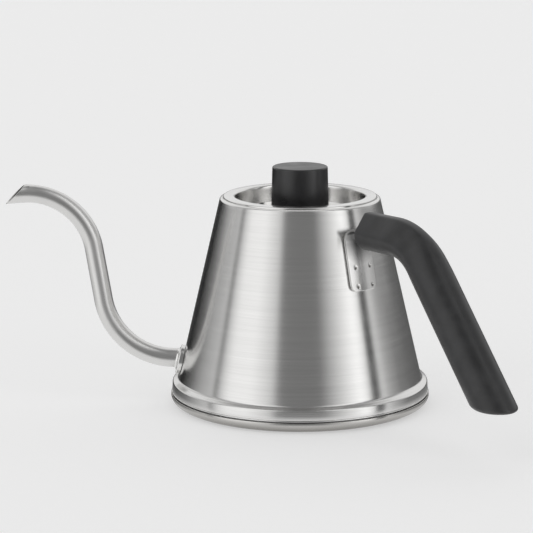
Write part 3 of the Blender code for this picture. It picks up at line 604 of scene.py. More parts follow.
strap_foot = handle_z - STRAP_LENGTH
tongue_top = handle_z + STRAP_T
tongue_end = handle_start + TONGUE_LENGTH
foot_x, corner_at = wall_radius(strap_foot) + GAP, wall_radius(tongue_top) + GAP
strap_line = divided(rounded([
    (foot_x, strap_foot, 0), (corner_at, tongue_top, STRAP_BEND_R + STRAP_T),
    (tongue_end, tongue_top, 0)], 4), 0.5)
strap_s = np.concatenate([[0], np.cumsum(np.hypot(*np.diff(strap_line, axis=0).T))])
fine_s = np.union1d(STRAP_EDGE_R * (1 - np.cos(quarter)),
                    np.concatenate([STRAP_CORNER_R * (1 - np.cos(quarter[1:])), strap_s[8:]]))
line_x, line_z = (np.interp(fine_s, strap_s, strap_line[:, axis]) for axis in (0, 1))
ahead = np.gradient(np.stack([line_x, line_z], axis=-1), fine_s, axis=0)
ahead /= np.hypot(*ahead.T)[:, None]

in_corner = np.clip(STRAP_CORNER_R - fine_s, 0, None)
strap_half_width = STRAP_W / 2 - STRAP_CORNER_R + np.sqrt(STRAP_CORNER_R**2 - in_corner**2)
neck_share = np.clip((line_x - handle_start + GAP + TONGUE_STEP) / TONGUE_STEP, 0, 1)
is_tongue = ahead[:, 1] < 0.01
half_width = strap_half_width - is_tongue * neck_share * (STRAP_W - TONGUE_W) / 2
follows = np.clip(ahead[:, 1] / math.cos(wall_angle), 0, 1)

# %% Section of the strip, and its weld spots
flat_out = np.linspace(1, -1, 72)
flat_in = np.linspace(-1, 1, 24)
arc = np.linspace(0, math.pi / 2, 5)[1:]
width_share = np.concatenate([flat_in, np.ones(8), flat_out, -np.ones(8)])
extra = STRAP_EDGE_R * np.concatenate([
    flat_in * 0, np.sin(arc), np.cos(arc - arc[0]), flat_out * 0, -np.sin(arc),
    -np.cos(arc - arc[0])])
depth = np.concatenate([
    flat_in * 0, STRAP_EDGE_R * (1 - np.cos(arc)),
    STRAP_T - STRAP_EDGE_R * (1 - np.sin(arc - arc[0])), flat_out * 0 + STRAP_T,
    STRAP_T - STRAP_EDGE_R * (1 - np.cos(arc)), STRAP_EDGE_R * (1 - np.sin(arc - arc[0]))])
near_foot = np.clip(1 - fine_s / STRAP_EDGE_R, 0, 1)
squeeze = (1 - np.sqrt(1 - near_foot**2))[:, None]
across = width_share * (half_width[:, None] - STRAP_EDGE_R) + extra * (1 - squeeze)
plain_thick = STRAP_T / 2 + (depth - STRAP_T / 2) * (1 - squeeze * 2 * STRAP_EDGE_R / STRAP_T)
weld_spots = np.array(WELD_SPOTS)
miss = np.hypot(across[..., None] - weld_spots[:, 0], fine_s[:, None, None] - weld_spots[:, 1])
hollow = SPOT_DEPTH * np.exp(-(miss / SPOT_R)**2)
thick = plain_thick - np.where(depth == STRAP_T, hollow.sum(axis=-1), 0)
wall = (wall_radius(line_z) + GAP)[:, None]
sag = (wall - np.sqrt(wall**2 - across**2)) * follows[:, None]
strap_grid = np.stack([line_x[:, None] - sag + thick * ahead[:, 1:], across,
                       line_z[:, None] - thick * ahead[:, :1]], axis=-1)
strap = surface("welded_strap", closed_ends(by_handle(strap_grid)))
print("strap faces:", len(strap.data.polygons))

# %% [markdown]
# ## Screws
# Both handle screws and the knob's screw are the same M4 pan-head. The thread is a true helix: the
# radius falls and rises with height, and the whole wave climbs one pitch for each turn. The cross
# recess is a cutter whose outline is the larger of two bars crossed at a right angle.

# %% Pan-head screw
THREAD_R = 2.0
THREAD_PITCH = 0.7
THREAD_DEPTH = 0.32
HEAD_R = 3.6
HEAD_H = 2.5
HEAD_DOME = 0.8
RECESS_LENGTH = 2.1
RECESS_HALF_WIDTH = 0.45
RECESS_DEPTH = 1.7
SCREW_SIDES = 64


def screw(name, head_low, tip, at):
    """Screw that points up: shank radius = R - depth (1 + cos(turns - height / pitch)) / 2."""
    neck = head_low + HEAD_H
    rings = np.arange(neck + 0.3, tip - 0.5, 0.1)
    shank_z = np.concatenate([rings, [tip - 0.4, tip]])
    angle = np.arange(SCREW_SIDES) * 2 * math.pi / SCREW_SIDES
    wave = 0.5 + 0.5 * np.cos(angle - 2 * math.pi * shank_z[:, None] / THREAD_PITCH)
    shank = THREAD_R - THREAD_DEPTH * wave
    shank[-2:] = np.array([[THREAD_R - THREAD_DEPTH], [THREAD_R - 2 * THREAD_DEPTH]])
    head = rounded([(0, head_low, 0), (HEAD_R - HEAD_DOME * 1.3, head_low, 1.2),
                    (HEAD_R, head_low + HEAD_DOME * 1.4, 0.8), (HEAD_R, neck, 0.2),
                    (THREAD_R, neck, 0)], 10)
    radius = np.concatenate([np.repeat(head[:, :1], SCREW_SIDES, axis=1), shank,
                             np.zeros((1, SCREW_SIDES))])
    z = np.concatenate([head[:, 1], shank_z, [tip]])[:, None] + np.zeros(SCREW_SIDES)
    grid = np.stack([at[0] + radius * np.cos(angle), at[1] + radius * np.sin(angle), z], axis=-1)
    made = surface(name, grid)
    bar = np.maximum(np.abs(np.stack([np.cos(angle), np.sin(angle)])), 1e-6)
    outline = np.minimum(RECESS_HALF_WIDTH / bar, RECESS_LENGTH).max(axis=0)
    scale = np.array([[1.15], [1.0], [0.35]])
    recess_z = np.array([[head_low - 0.5], [head_low], [head_low + RECESS_DEPTH]])
    cross = np.stack([at[0] + scale * outline * np.cos(angle), at[1] + scale * outline
                      * np.sin(angle), recess_z + np.zeros(SCREW_SIDES)], axis=-1)
    carve(made, surface(name + "_recess", closed_ends(cross)))
    return made


# %% Fasten the handle
HEAD_DEPTH = 2.2
INSERT_H = 4.4
INSERT_WALL = 0.9
TIP_SHORT = 1.0
SCREW_SPACINGS = {"front": 6.5, "rear": 17.5}
hole_r = THREAD_R + GAP

belly_z = handle_z - NECK_HALF_DEPTH
insert_low = tongue_top + GAP
insert_top = insert_low + INSERT_H
insert_r = hole_r + INSERT_WALL
bore_steps = np.array([
    (0, belly_z - 3), (HEAD_R + GAP, belly_z - 3), (HEAD_R + GAP, belly_z + HEAD_DEPTH + HEAD_H + GAP),
    (hole_r, belly_z + HEAD_DEPTH + HEAD_H + GAP), (hole_r, tongue_top),
    (insert_r + GAP, tongue_top), (insert_r + GAP, insert_top + GAP), (0, insert_top + GAP)])
handle_screws = {}
for which, spacing in SCREW_SPACINGS.items():
    place = by_handle([handle_start + spacing, 0, 0])[:2]
    carve(grip, turned(f"bore_{which}", bore_steps, SCREW_SIDES, at=place))
    tongue_bore = np.array([(0, tongue_top - 4), (hole_r, tongue_top - 4), (hole_r, tongue_top + 2),
                            (0, tongue_top + 2)])
    carve(strap, turned(f"tongue_hole_{which}", tongue_bore, SCREW_SIDES, at=place))
    handle_screws[which] = screw(f"pan_screw_{which}", belly_z + HEAD_DEPTH,
                                 insert_top - TIP_SHORT, place)

slot_y = TONGUE_W / 2 + GAP
slot_low, slot_high = tongue_top - STRAP_T - GAP, tongue_top + GAP
slot_corners = [(-slot_y, slot_low), (slot_y, slot_low), (slot_y, slot_high),
                (-slot_y, slot_high)]
slot_grid = by_handle([[(x, y, z) for y, z in slot_corners]
                       for x in (handle_start - 3, tongue_end + GAP)])
carve(grip, surface("tongue_slot", closed_ends(slot_grid)))
print("grip faces once bored:", len(grip.data.polygons))

# %% [markdown]
# ## The lid
# The lid is a thin disc that lies in the well, a pressed ring below it that keeps it centred, and
# a turned black knob. The knob's top is very slightly dished and its edge is a small even
# rounding, which carries the bright line seen on moulded parts.

# %% Disc and skirt
LID_T = 0.7
LID_CLEARANCE = 0.6
VENT_R = 1.5
SKIRT_CLEARANCE = 0.7
SKIRT_LEDGE = 3.0
SKIRT_DEPTH = 12.0
VENT_INSET = 2.3

lid_z = seat_z + GAP
lid_top = lid_z + LID_T
lid_r = seat_r - LID_CLEARANCE
skirt_r = mouth_r - SKIRT_CLEARANCE
plate_line = rounded([
    (hole_r, lid_z, 0), (hole_r, lid_top, 0.1), (lid_r, lid_top, LID_T * 0.49),
    (lid_r, lid_z, LID_T * 0.49), (hole_r, lid_z, 0)], 15)[:-1]
lid_disc = turned("lid_disc", divided(plate_line, 2.0), closed=True)
vent_at = (0.0, skirt_r - SKIRT_LEDGE - VENT_INSET)
vent_line = np.array([(0, lid_z - 2), (VENT_R, lid_z - 2), (VENT_R, lid_top - 0.2),
                      (VENT_R + 0.4, lid_top + 0.2), (VENT_R + 0.4, lid_top + 2), (0, lid_top + 2)])
carve(lid_disc, turned("vent_hole", vent_line, SCREW_SIDES, at=vent_at))
skirt_top = lid_z - GAP
skirt_line = divided(rounded([
    (skirt_r - SKIRT_LEDGE, skirt_top, 0), (skirt_r, skirt_top, 1.2),
    (skirt_r, skirt_top - SKIRT_DEPTH, 0)], 10), 1.5)
skirt = turned("lid_centring_ring", sheet(skirt_line, SHEET), closed=True)
print("lid radius and skirt radius:", round(float(lid_r), 1), round(float(skirt_r), 1))

# %% Knob with its fixing
KNOB_TOP_R = 14.8
KNOB_FOOT_R = 15.4
KNOB_H = 24.2
KNOB_WALL = 2.2
KNOB_EDGE_R = 1.0
KNOB_DISH = 0.25
KNOB_BOSS_WALL = 1.8
KNOB_INSERT_H = 12.0
WASHER_R = 5.5
WASHER_T = 0.8

knob_z = lid_top + GAP
knob_top = knob_z + KNOB_H
roof_z = knob_top - KNOB_WALL
pocket_r = insert_r + GAP
boss_r = pocket_r + KNOB_BOSS_WALL
pocket_z = knob_z + KNOB_INSERT_H + 2 * GAP
taper = (KNOB_FOOT_R - KNOB_TOP_R) / KNOB_H
knob_line = rounded([
    (0, pocket_z, 0), (pocket_r, pocket_z, 0.2), (pocket_r, knob_z, 0.2), (boss_r, knob_z, 0.3),
    (boss_r, roof_z, 0.8), (KNOB_TOP_R + (taper - 1) * KNOB_WALL, roof_z, 1.0),
    (KNOB_FOOT_R - KNOB_WALL, knob_z, 0.3), (KNOB_FOOT_R, knob_z, 0.35),
    (KNOB_TOP_R, knob_top, KNOB_EDGE_R), (0, knob_top - KNOB_DISH, 0)], 10)
knob = turned("turned_knob", divided(knob_line, 1.2))
washer_high = lid_z - GAP
washer_line = rounded([
    (hole_r, washer_high - WASHER_T, 0), (hole_r, washer_high, 0.15), (WASHER_R, washer_high, 0.25),
    (WASHER_R, washer_high - WASHER_T, 0.25), (hole_r, washer_high - WASHER_T, 0)], 15)[:-1]
washer = turned("knob_washer_ring", washer_line, SCREW_SIDES, closed=True)
knob_head = washer_high - WASHER_T - GAP - HEAD_H
knob_screw = screw("pan_screw_knob", knob_head, knob_z + GAP + KNOB_INSERT_H - TIP_SHORT, (0.0, 0.0))
print("knob height and top, mm:", KNOB_H, round(float(knob_top), 1))

# %% [markdown]
# ## Shared effects of the finishes
# Brushed metal is not noise: it is thousands of fine parallel scratches with a few broad ones.
# On a spun wall they run round the axis, and on a drawn tube along it. A noise whose coordinates
# are stretched a hundredfold one way gives both. Wear, handling marks and dust are groups too, so
# that each finish takes them with its own strength.

# %% Small helpers for shader trees
def add(tree, kind, inputs=None, **settings):
    """Add a node with its settings, and set or link its inputs, named or numbered."""
    made = tree.nodes.new(kind)
    for name, value in settings.items():
        setattr(made, name, value)
    for name, value in (inputs or {}).items():
        if isinstance(value, bpy.types.NodeSocket):
            tree.links.new(value, made.inputs[name])
        else:
            made.inputs[name].default_value = value
    return made


def calc(tree, operation, *values):
    """One arithmetic step on numbers or sockets."""
    return add(tree, "ShaderNodeMath", dict(enumerate(values)), operation=operation).outputs[0]


def between(tree, value, low, high, out_low=0.0, out_high=1.0):
    """Map a value from low..high to out_low..out_high, clamped."""
    return add(tree, "ShaderNodeMapRange", {
        "Value": value, "From Min": low, "From Max": high, "To Min": out_low,
        "To Max": out_high}).outputs["Result"]


def noise(tree, vector, scale, detail=2.0, roughness=0.5):
    """Noise value about 0.5, on a vector in millimetres."""
    return add(tree, "ShaderNodeTexNoise", {
        "Vector": vector, "Scale": scale, "Detail": detail, "Roughness": roughness}).outputs["Fac"]


def new_group(name, inputs, outputs):
    """Empty shader group with number inputs {name: default} and number outputs."""
    tree = bpy.data.node_groups.new(name, "ShaderNodeTree")
    for label, value in inputs.items():
        socket = tree.interface.new_socket(label, in_out="INPUT", socket_type="NodeSocketFloat")
        socket.default_value = value
    for label in outputs:
        tree.interface.new_socket(label, in_out="OUTPUT", socket_type="NodeSocketFloat")
    return tree, tree.nodes.new("NodeGroupInput").outputs, tree.nodes.new("NodeGroupOutput").inputs


def in_mm(tree):
    """Object coordinates in millimetres."""
    place = tree.nodes.new("ShaderNodeTexCoord").outputs["Object"]
    return add(tree, "ShaderNodeVectorMath", {0: place, 1: (1000, 1000, 1000)},
               operation="MULTIPLY").outputs[0]


def use(tree, group, **inputs):
    """Place a group in a material with its own values."""
    made = tree.nodes.new("ShaderNodeGroup")
    made.node_tree = group
    for name, value in inputs.items():
        made.inputs[name.replace("_", " ")].default_value = value
    return made.outputs


# %% Group: brush marks
def grain_group(name, kind):
    """Fine and broad streaks: noise at (long, long, across), across the marks per millimetre.

    On a "spun" piece, across is the "grain" map's distance along the section, and on a "drawn"
    tube its distance round the tube. A "solid" piece has no map, so radius + 1.37 height stands
    in for it.
    """
    tree, given, out = new_group(name, {"Marks per mm": 3.0, "Length": 30.0}, ["Fine", "Broad"])
    uv = add(tree, "ShaderNodeUVMap", uv_map="grain").outputs[0]
    mapped = add(tree, "ShaderNodeSeparateXYZ", {0: uv}).outputs
    parts = add(tree, "ShaderNodeSeparateXYZ", {0: in_mm(tree)}).outputs
    long_a, long_b, across_it = parts["X"], parts["Y"], mapped["Y"]
    if kind == "drawn":
        long_a, long_b, across_it = mapped["Y"], 0.0, mapped["X"]
    if kind == "solid":
        flat = add(tree, "ShaderNodeCombineXYZ", {0: parts["X"], 1: parts["Y"]}).outputs[0]
        radius = add(tree, "ShaderNodeVectorMath", {0: flat}, operation="LENGTH").outputs["Value"]
        across_it = calc(tree, "MULTIPLY_ADD", parts["Z"], 1.37, radius)
    for label, wide, detail in (("Fine", 1.0, 3.0), ("Broad", 0.16, 2.0)):
        stretch = calc(tree, "DIVIDE", wide, given["Length"])
        place = add(tree, "ShaderNodeCombineXYZ", {
            0: calc(tree, "MULTIPLY", long_a, stretch), 1: calc(tree, "MULTIPLY", long_b, stretch),
            2: calc(tree, "MULTIPLY", across_it, calc(tree, "MULTIPLY", given["Marks per mm"], wide))})
        tree.links.new(noise(tree, place.outputs[0], 1.0, detail, 0.6), out[label])
    return tree


RING_GRAIN = grain_group("grain_round_axis", "spun")
TUBE_GRAIN = grain_group("grain_along_tube", "drawn")
SOLID_GRAIN = grain_group("grain_of_turned_solid", "solid")

# %% Groups: worn edges, handling marks, dust, stipple
WORN_EDGES, worn_in, worn_out = new_group("worn_edges", {"Amount": 1.0}, ["Wear"])
edge = add(WORN_EDGES, "ShaderNodeAttribute", attribute_name="edge").outputs["Fac"]
patches = between(WORN_EDGES, noise(WORN_EDGES, in_mm(WORN_EDGES), 0.35, 4.0), 0.35, 0.65)
WORN_EDGES.links.new(calc(WORN_EDGES, "MULTIPLY", calc(WORN_EDGES, "MULTIPLY", edge, patches),
                          worn_in["Amount"]), worn_out["Wear"])

HANDLING, hand_in, hand_out = new_group("handling_marks", {"Size": 12.0}, ["Smudge", "Dust"])
cloud_scale = calc(HANDLING, "DIVIDE", 1.0, hand_in["Size"])
cloud = noise(HANDLING, in_mm(HANDLING), cloud_scale, 3.0, 0.55)
HANDLING.links.new(between(HANDLING, cloud, 0.42, 0.68), hand_out["Smudge"])
facing = add(HANDLING, "ShaderNodeSeparateXYZ",
             {0: HANDLING.nodes.new("ShaderNodeNewGeometry").outputs["Normal"]}).outputs["Z"]
specks = between(HANDLING, noise(HANDLING, in_mm(HANDLING), 2.6, 2.0), 0.6, 0.72)
HANDLING.links.new(calc(HANDLING, "MULTIPLY", between(HANDLING, facing, 0.6, 0.95), specks),
                   hand_out["Dust"])

STIPPLE, stipple_in, stipple_out = new_group("moulded_stipple", {"Grains per mm": 3.0}, ["Height", "Tone"])
STIPPLE.links.new(noise(STIPPLE, in_mm(STIPPLE), stipple_in["Grains per mm"], 1.0),
                  stipple_out["Height"])
STIPPLE.links.new(noise(STIPPLE, in_mm(STIPPLE), 0.11, 3.0), stipple_out["Tone"])
print("shared groups:", [tree.name for tree in bpy.data.node_groups])


# %% [markdown]
# ## Finishes
# One function makes every steel: the brushed wall and the mirror-polished pressings differ only
# in how rough they are and how strong their marks show. A few dark marks are painted by place on
# the object: weld marks, a base that darkens towards the table, painted shade in the spout's bore
# and a painted reflection of the handle's end on the strap. They stay put as the view turns, but
# they don't answer to the light. The moulded plastic is dark, a little glossy, with a stipple too
# fine to see except in its highlights.

# %% Metals
def mix_colour(tree, share, first, second):
    """Blend two colours by a mask."""
    return add(tree, "ShaderNodeMix", {0: share, 6: first, 7: second},
               data_type="RGBA").outputs[2]


def metal(name, colour, roughness, grain, marks_per_mm, length, bump, stretch=0.0, turn=0.25,
          tone=0.12, wear=0.3, spread=0.10, smudge=0.05, darken_below=0.0,
          shaded=0.0, spots=None, bore_from=0.0):
    """Metal whose roughness, tone and relief all follow the same brush marks.

    Four marks are painted by place. One darkens it from a given height down to the table.
    shaded darkens it near the handle's end, in place of the handle's reflection, which is hidden.
    spots darkens four weld marks, and bore_from paints shade in a tube's bore, from that length of the map
    on.
    """
    made = bpy.data.materials.new(name)
    made.use_nodes = True
    tree = made.node_tree
    shader = tree.nodes["Principled BSDF"]
    shader.inputs["Anisotropic"].default_value = stretch
    shader.inputs["Anisotropic Rotation"].default_value = turn
    shader.inputs["Metallic"].default_value = 1.0
    marks = use(tree, grain, Marks_per_mm=marks_per_mm, Length=length)
    worn = use(tree, WORN_EDGES)["Wear"]
    hand = use(tree, HANDLING)
    both = calc(tree, "ADD", calc(tree, "MULTIPLY", marks["Fine"], 0.6),
                calc(tree, "MULTIPLY", marks["Broad"], 0.4))
    dark = (*[part * (1 - tone) for part in colour], 1)
    light = (*[min(1.0, part * (1 + tone)) for part in colour], 1)
    tint = mix_colour(tree, between(tree, both, 0.3, 0.7), dark, light)
    bright = (*[min(1.0, part * 1.15) for part in colour], 1)
    tint = mix_colour(tree, calc(tree, "MULTIPLY", worn, wear), tint, bright)
    tint = mix_colour(tree, calc(tree, "MULTIPLY", hand["Dust"], 0.10), tint, (0.55, 0.54, 0.52, 1))
    level = between(tree, both, 0.3, 0.7, roughness - spread / 2, roughness + spread / 2)
    level = calc(tree, "ADD", level, calc(tree, "MULTIPLY", hand["Smudge"], smudge))
    if spots is not None:
        reach = [add(tree, "ShaderNodeVectorMath", {0: in_mm(tree), 1: spot},
                     operation="DISTANCE").outputs["Value"] for spot in spots]
        near = calc(tree, "MINIMUM", calc(tree, "MINIMUM", reach[0], reach[1]),
                    calc(tree, "MINIMUM", reach[2], reach[3]))
        tint = mix_colour(tree, between(tree, near, 1.1, 0.5, 0.0, 0.9), tint, DARK_TINT_AND_SHADE)
    # Painted shade: a tube's bore is darkened from that length of the map on.
    if bore_from:
        uv = add(tree, "ShaderNodeUVMap", uv_map="grain").outputs[0]
        along = add(tree, "ShaderNodeSeparateXYZ", {0: uv}).outputs["Y"]
        tint = mix_colour(tree, between(tree, along, bore_from, bore_from + 1.5, 0.0, 0.93), tint,
                          DARK_TINT_AND_SHADE)
    if shaded:
        reach = add(tree, "ShaderNodeVectorMath", {0: in_mm(tree), 1: NECK_END},
                    operation="DISTANCE").outputs["Value"]
        tint = mix_colour(tree, between(tree, reach, 16.0, 9.0, 0.0, shaded), tint, NECK_SHADE)
    # Darker and rougher towards the table, from the given height down.
    if darken_below:
        height = add(tree, "ShaderNodeSeparateXYZ", {0: in_mm(tree)}).outputs["Z"]
        below_share = between(tree, height, DARKER_BELOW_H, 0.0, 0.0, darken_below)
        tint = mix_colour(tree, below_share, tint, DARK_TINT_AND_SHADE)
        level = calc(tree, "ADD", level, calc(tree, "MULTIPLY", below_share, 0.15))
    tree.links.new(tint, shader.inputs["Base Color"])
    level = calc(tree, "SUBTRACT", level, calc(tree, "MULTIPLY", worn, 0.3 * roughness))
    tree.links.new(level, shader.inputs["Roughness"])
    relief = add(tree, "ShaderNodeBump", {"Strength": 1.0, "Distance": bump * MM, "Height": both})
    tree.links.new(relief.outputs[0], shader.inputs["Normal"])
    return made


STEEL = (0.78, 0.775, 0.765)
# Height, in mm, from which the base turns darker towards the table.
DARKER_BELOW_H = 6.0
# Dark colour of the weld marks and of the base towards the table; in the spout's bore it is painted shade.
DARK_TINT_AND_SHADE = (0.11, 0.10, 0.09, 1)
NECK_END = tuple(float(part) for part in by_handle([handle_start, 0.0, handle_z - 3.0]))
NECK_SHADE = (0.07, 0.07, 0.07, 1)
spot_s = weld_spots[:, 1]
spot_places = [tuple(place) for place in by_handle(np.stack([
    np.interp(spot_s, fine_s, line_x) + STRAP_T, weld_spots[:, 0],
    np.interp(spot_s, fine_s, line_z)], axis=-1)).tolist()]
bore_start = float(lengths_along(spout_grid, 0)[len(lip_outer) + 2])
brushed_wall = metal("brushed_wall_steel", STEEL, 0.21, RING_GRAIN, 2.5, 45.0, 0.0008,
                     stretch=0.55, tone=0.06, spread=0.03, smudge=0.02)
brushed_tube = metal("brushed_tube_steel", STEEL, 0.30, TUBE_GRAIN, 4.0, 30.0, 0.001, tone=0.04,
                     bore_from=bore_start)
polished = metal("polished_pressing_steel", STEEL, 0.13, RING_GRAIN, 3.0, 60.0, 0.002,
                 stretch=0.4, tone=0.03, spread=0.05)
darker_below_base = metal("base_steel_darker_below", (0.70, 0.69, 0.67), 0.16, RING_GRAIN, 3.0, 60.0,
                   0.002, stretch=0.4, tone=0.04, spread=0.06, darken_below=1.0)
strap_steel = metal("rolled_strap_steel", STEEL, 0.22, TUBE_GRAIN, 3.0, 25.0, 0.001, tone=0.04,
                    shaded=0.9, spots=spot_places)
screw_steel = metal("zinc_screw_steel", (0.56, 0.56, 0.55), 0.30, RING_GRAIN, 5.0, 10.0, 0.004,
                    tone=0.10)
cast_aluminium = metal("faced_aluminium", (0.77, 0.77, 0.78), 0.38, SOLID_GRAIN, 2.0, 80.0, 0.02,
                       stretch=0.5, tone=0.08)
insert_brass = metal("turned_brass", (0.78, 0.58, 0.27), 0.30, SOLID_GRAIN, 6.0, 12.0, 0.010,
                     tone=0.12)
print("metals:", [m.name for m in bpy.data.materials])


# %% Moulded plastic
def plastic(name, colour, roughness, grain_bump, ior):
    """Black polyamide: stipple relief, slow changes of gloss, greyer worn edges and a little dust."""
    made = bpy.data.materials.new(name)
    made.use_nodes = True
    tree = made.node_tree
    shader = tree.nodes["Principled BSDF"]
    skin = use(tree, STIPPLE, Grains_per_mm=3.5)
    worn = use(tree, WORN_EDGES)["Wear"]
    hand = use(tree, HANDLING, Size=16.0)
    lighter = (*[part * 1.5 for part in colour], 1)
    tint = mix_colour(tree, between(tree, skin["Tone"], 0.35, 0.65), (*colour, 1), lighter)
    tint = mix_colour(tree, calc(tree, "MULTIPLY", worn, 0.25), tint, (0.07, 0.07, 0.07, 1))
    tint = mix_colour(tree, calc(tree, "MULTIPLY", hand["Dust"], 0.12), tint, (0.3, 0.29, 0.28, 1))
    tree.links.new(tint, shader.inputs["Base Color"])
    level = between(tree, skin["Tone"], 0.3, 0.7, roughness - 0.05, roughness + 0.04)
    level = calc(tree, "SUBTRACT", level, calc(tree, "MULTIPLY", hand["Smudge"], 0.05))
    level = calc(tree, "SUBTRACT", level, calc(tree, "MULTIPLY", worn, 0.10))
    tree.links.new(level, shader.inputs["Roughness"])
    shader.inputs["IOR"].default_value = ior
    relief = add(tree, "ShaderNodeBump", {
        "Strength": 1.0, "Distance": grain_bump * MM, "Height": skin["Height"]})
    tree.links.new(relief.outputs[0], shader.inputs["Normal"])
    return made


black_handle = plastic("black_handle_plastic", (0.028, 0.028, 0.029), 0.42, 0.006, 1.50)
black_knob = plastic("black_knob_plastic", (0.014, 0.014, 0.015), 0.36, 0.005, 1.60)
print("plastics:", black_handle.name, black_knob.name)


# %% [markdown]
# ## Put the pieces on the frame
# Each piece gets smooth shading that breaks at true edges, a mask of its worn edges, a finish, and
# its place in the model. The mask comes from the shape itself: where the faces round a point fall
# away from its tangent plane quickly, the edge is proud and rubs bright.

# %% Mask of proud edges
EDGE_FROM = 0.12                # 1/mm
EDGE_FULL = 0.50


def mark_edges(mesh):
    """Point attribute "edge": mean of 2 drop / distance^2 to the faces round a point, clamped.

    The drop is how far a face's centre lies below the point's tangent plane, so this is the
    curvature, in 1/mm; it is counted from EDGE_FROM, a radius of about 8 mm, up to EDGE_FULL.
    """
    point = np.empty(len(mesh.vertices) * 3, np.float32)
    mesh.vertices.foreach_get("co", point)
    normal = np.empty_like(point)
    mesh.vertices.foreach_get("normal", normal)
    centre = np.empty(len(mesh.polygons) * 3, np.float32)
    mesh.polygons.foreach_get("center", centre)
    total = np.empty(len(mesh.polygons), np.int32)
    mesh.polygons.foreach_get("loop_total", total)
    index = np.empty(len(mesh.loops), np.int32)
    mesh.loops.foreach_get("vertex_index", index)
    move = (np.repeat(centre.reshape(-1, 3), total, axis=0) - point.reshape(-1, 3)[index]) / MM
    drop = -(move * normal.reshape(-1, 3)[index]).sum(axis=1)
    bend = 2 * drop / np.maximum((move**2).sum(axis=1), 1e-6)
    count = np.maximum(np.bincount(index, minlength=len(mesh.vertices)), 1)
    mean = np.bincount(index, weights=bend, minlength=len(mesh.vertices)) / count
    mask = np.clip((mean - EDGE_FROM) / (EDGE_FULL - EDGE_FROM), 0, 1).astype(np.float32)
    mesh.attributes.new("edge", "FLOAT", "POINT").data.foreach_set("value", mask)


def fit_out(obj, body, nodes, finish, sharp=32.0):
    """Shade, mask, paint and mount one piece."""
    obj.data.shade_smooth()
    obj.data.set_sharp_from_angle(angle=math.radians(sharp))
    mark_edges(obj.data)
    obj.data.materials.clear()
    obj.data.materials.append(finish)
    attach(obj, body)
    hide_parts(*nodes)


# %% Mount everything
fit_out(base, "kettle", ["base_cap"], darker_below_base)
fit_out(vessel_floor, "kettle", ["vessel_floor"], polished)
fit_out(shell, "kettle", ["body_shell"], brushed_wall)
fit_out(collar, "kettle", ["top_collar"], polished)
fit_out(spout, "kettle", ["spout_tube"], brushed_tube)
fit_out(flange, "kettle", ["spout_flange"], polished)
fit_out(strap, "kettle", ["handle_bracket"], strap_steel)
fit_out(grip, "kettle", ["handle_grip"], black_handle)
fit_out(end_plug, "kettle", ["handle_end_cap"], black_handle)
for which, made in handle_screws.items():
    fit_out(made, "kettle", [f"handle_screw_{which}"], screw_steel)
fit_out(lid_disc, "lid", ["lid_plate"], polished)
fit_out(skirt, "lid", ["lid_skirt"], polished)
fit_out(knob, "lid", ["knob"], black_knob)
fit_out(knob_screw, "lid", ["knob_screw"], screw_steel)
fit_out(washer, "lid", ["knob_washer"], screw_steel)

KEPT = {"heat_spreader": cast_aluminium, "handle_insert_front": insert_brass,
        "handle_insert_rear": insert_brass, "knob_insert": insert_brass}
for node_name, kept_finish in KEPT.items():
    for kept_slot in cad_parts[node_name].material_slots:
        kept_slot.material = kept_finish
NOT_MIRRORED = [grip, end_plug, *handle_screws.values(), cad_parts["handle_insert_front"],
                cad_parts["handle_insert_rear"]]
for piece in NOT_MIRRORED:      # a liberty: the wall's bands stay unbroken beside the handle
    piece.visible_glossy = False

# %% [markdown]
# ## Studio
# A polished cone shows its surroundings as upright stripes, so the studio is described by
# direction. Round the horizon stand a wide light panel on the left, a sweep that brightens
# towards the right and a black flag beyond it, and the middle, towards the camera, is dim. So is
# the ceiling. Light fills the far side above the horizon and everything below it. The bands were
# set for this one view. The floor is left out of reflections: the world stands in for it.

# %% Light all round
HORIZON = [(-180, 0.10), (-148, 0.0), (-122, 0.14), (-90, 0.64), (-87, 0.05), (-80, 0.75),
           (-70, 1.05), (-48, 1.08), (-27, 0.72), (-20, 0.21), (20, 0.20), (60, 1.30),
           (69, 1.05), (72, 0.0), (79, 0.0), (83, 0.85), (92, 0.48), (110, 0.16), (180, 0.08)]
OVERHEAD = 0.20
BEHIND = 0.85
BELOW = 0.85
PALE = 0.838
BRIGHTEST = 1.60                # the ramp holds shares of this
BACK_FROM_TO = (0.15, 0.50)     # where each part takes over, along the direction's Y or Z
RISE_FROM_TO = (0.03, 0.14)
TOP_FROM_TO = (0.90, 0.99)
UNDER_FROM_TO = (-0.20, -0.42)

world = bpy.data.worlds.new("studio")
bpy.context.scene.world = world
world.use_nodes = True
sky = world.node_tree
direction = sky.nodes.new("ShaderNodeTexCoord").outputs["Generated"]
toward = add(sky, "ShaderNodeSeparateXYZ", {0: direction}).outputs
azimuth = calc(sky, "ARCTAN2", toward["X"], calc(sky, "MULTIPLY", toward["Y"], -1.0))
turn_share = between(sky, azimuth, -math.pi, math.pi)
ramp = sky.nodes.new("ShaderNodeValToRGB")
stops = ramp.color_ramp.elements
stops.remove(stops[1])
stops[0].position = 0.0
for number, (degrees, strength_here) in enumerate(HORIZON):
    stop = stops[0] if number == 0 else stops.new((degrees + 180) / 360)
    stop.color = (*[strength_here / BRIGHTEST] * 3, 1)
sky.links.new(turn_share, ramp.inputs[0])
around = calc(sky, "MULTIPLY", ramp.outputs[0], BRIGHTEST)
is_back = between(sky, toward["Y"], *BACK_FROM_TO)
above = calc(sky, "MULTIPLY", is_back, between(sky, toward["Z"], *RISE_FROM_TO))
with_back = add(sky, "ShaderNodeMix", {0: above, 2: around, 3: BEHIND}).outputs[0]
with_top = add(sky, "ShaderNodeMix", {
    0: between(sky, toward["Z"], *TOP_FROM_TO), 2: with_back, 3: OVERHEAD}).outputs[0]
lit = add(sky, "ShaderNodeMix", {
    0: between(sky, toward["Z"], *UNDER_FROM_TO), 2: with_top, 3: BELOW}).outputs[0]
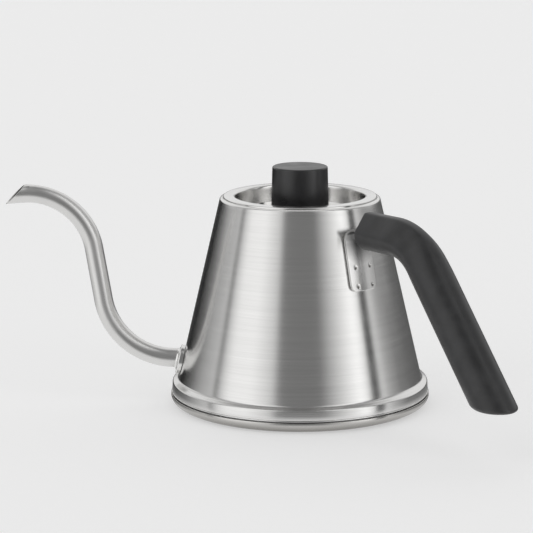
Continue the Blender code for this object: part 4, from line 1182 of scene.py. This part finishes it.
seen = sky.nodes.new("ShaderNodeLightPath").outputs["Is Camera Ray"]
strength = add(sky, "ShaderNodeMix", {0: seen, 2: lit, 3: PALE}).outputs[0]
backdrop = sky.nodes["Background"]
backdrop.inputs["Color"].default_value = (1, 1, 1, 1)
sky.links.new(strength, backdrop.inputs["Strength"])
print("studio stops round the horizon:", len(HORIZON))

# %% Floor
FLOOR_HALF = 6.0
FLOOR_DROP = 0.0003
FLOOR_ALBEDO = 0.55
FLOOR_GLOW = 0.49

floor_corners = np.array([(-1, -1), (1, -1), (1, 1), (-1, 1)]) * FLOOR_HALF
floor_mesh = bpy.data.meshes.new("studio_floor")
floor_mesh.from_pydata([(x, y, -FLOOR_DROP) for x, y in floor_corners], [], [(0, 1, 2, 3)])
studio_floor = bpy.data.objects.new("studio_floor", floor_mesh)
bpy.context.scene.collection.objects.link(studio_floor)
paper = bpy.data.materials.new("pale_paper")
paper.use_nodes = True
paper_shader = paper.node_tree.nodes["Principled BSDF"]
paper_shader.inputs["Roughness"].default_value = 0.9
paper_shader.inputs["Specular IOR Level"].default_value = 0.1
paper_shader.inputs["Emission Color"].default_value = (1, 1, 1, 1)
paper_shader.inputs["Emission Strength"].default_value = FLOOR_GLOW
paper_shader.inputs["Base Color"].default_value = (FLOOR_ALBEDO, FLOOR_ALBEDO, FLOOR_ALBEDO, 1)
floor_mesh.materials.append(paper)
studio_floor.visible_glossy = False

# %% Camera
CAMERA_PLACE = (0.0, -1.200, 0.320)
CAMERA_TILT = math.radians(78.41)
LENS = 153.73
SHIFT = -0.0629

camera_data = bpy.data.cameras.new("camera")
camera_data.lens = LENS
camera_data.sensor_width = 36.0
camera_data.shift_x = SHIFT
camera = bpy.data.objects.new("camera", camera_data)
camera.location = CAMERA_PLACE
camera.rotation_euler = (CAMERA_TILT, 0.0, 0.0)
bpy.context.scene.collection.objects.link(camera)
bpy.context.scene.camera = camera
bpy.context.scene.view_settings.view_transform = "Standard"
print("camera", CAMERA_PLACE, "lens", LENS)
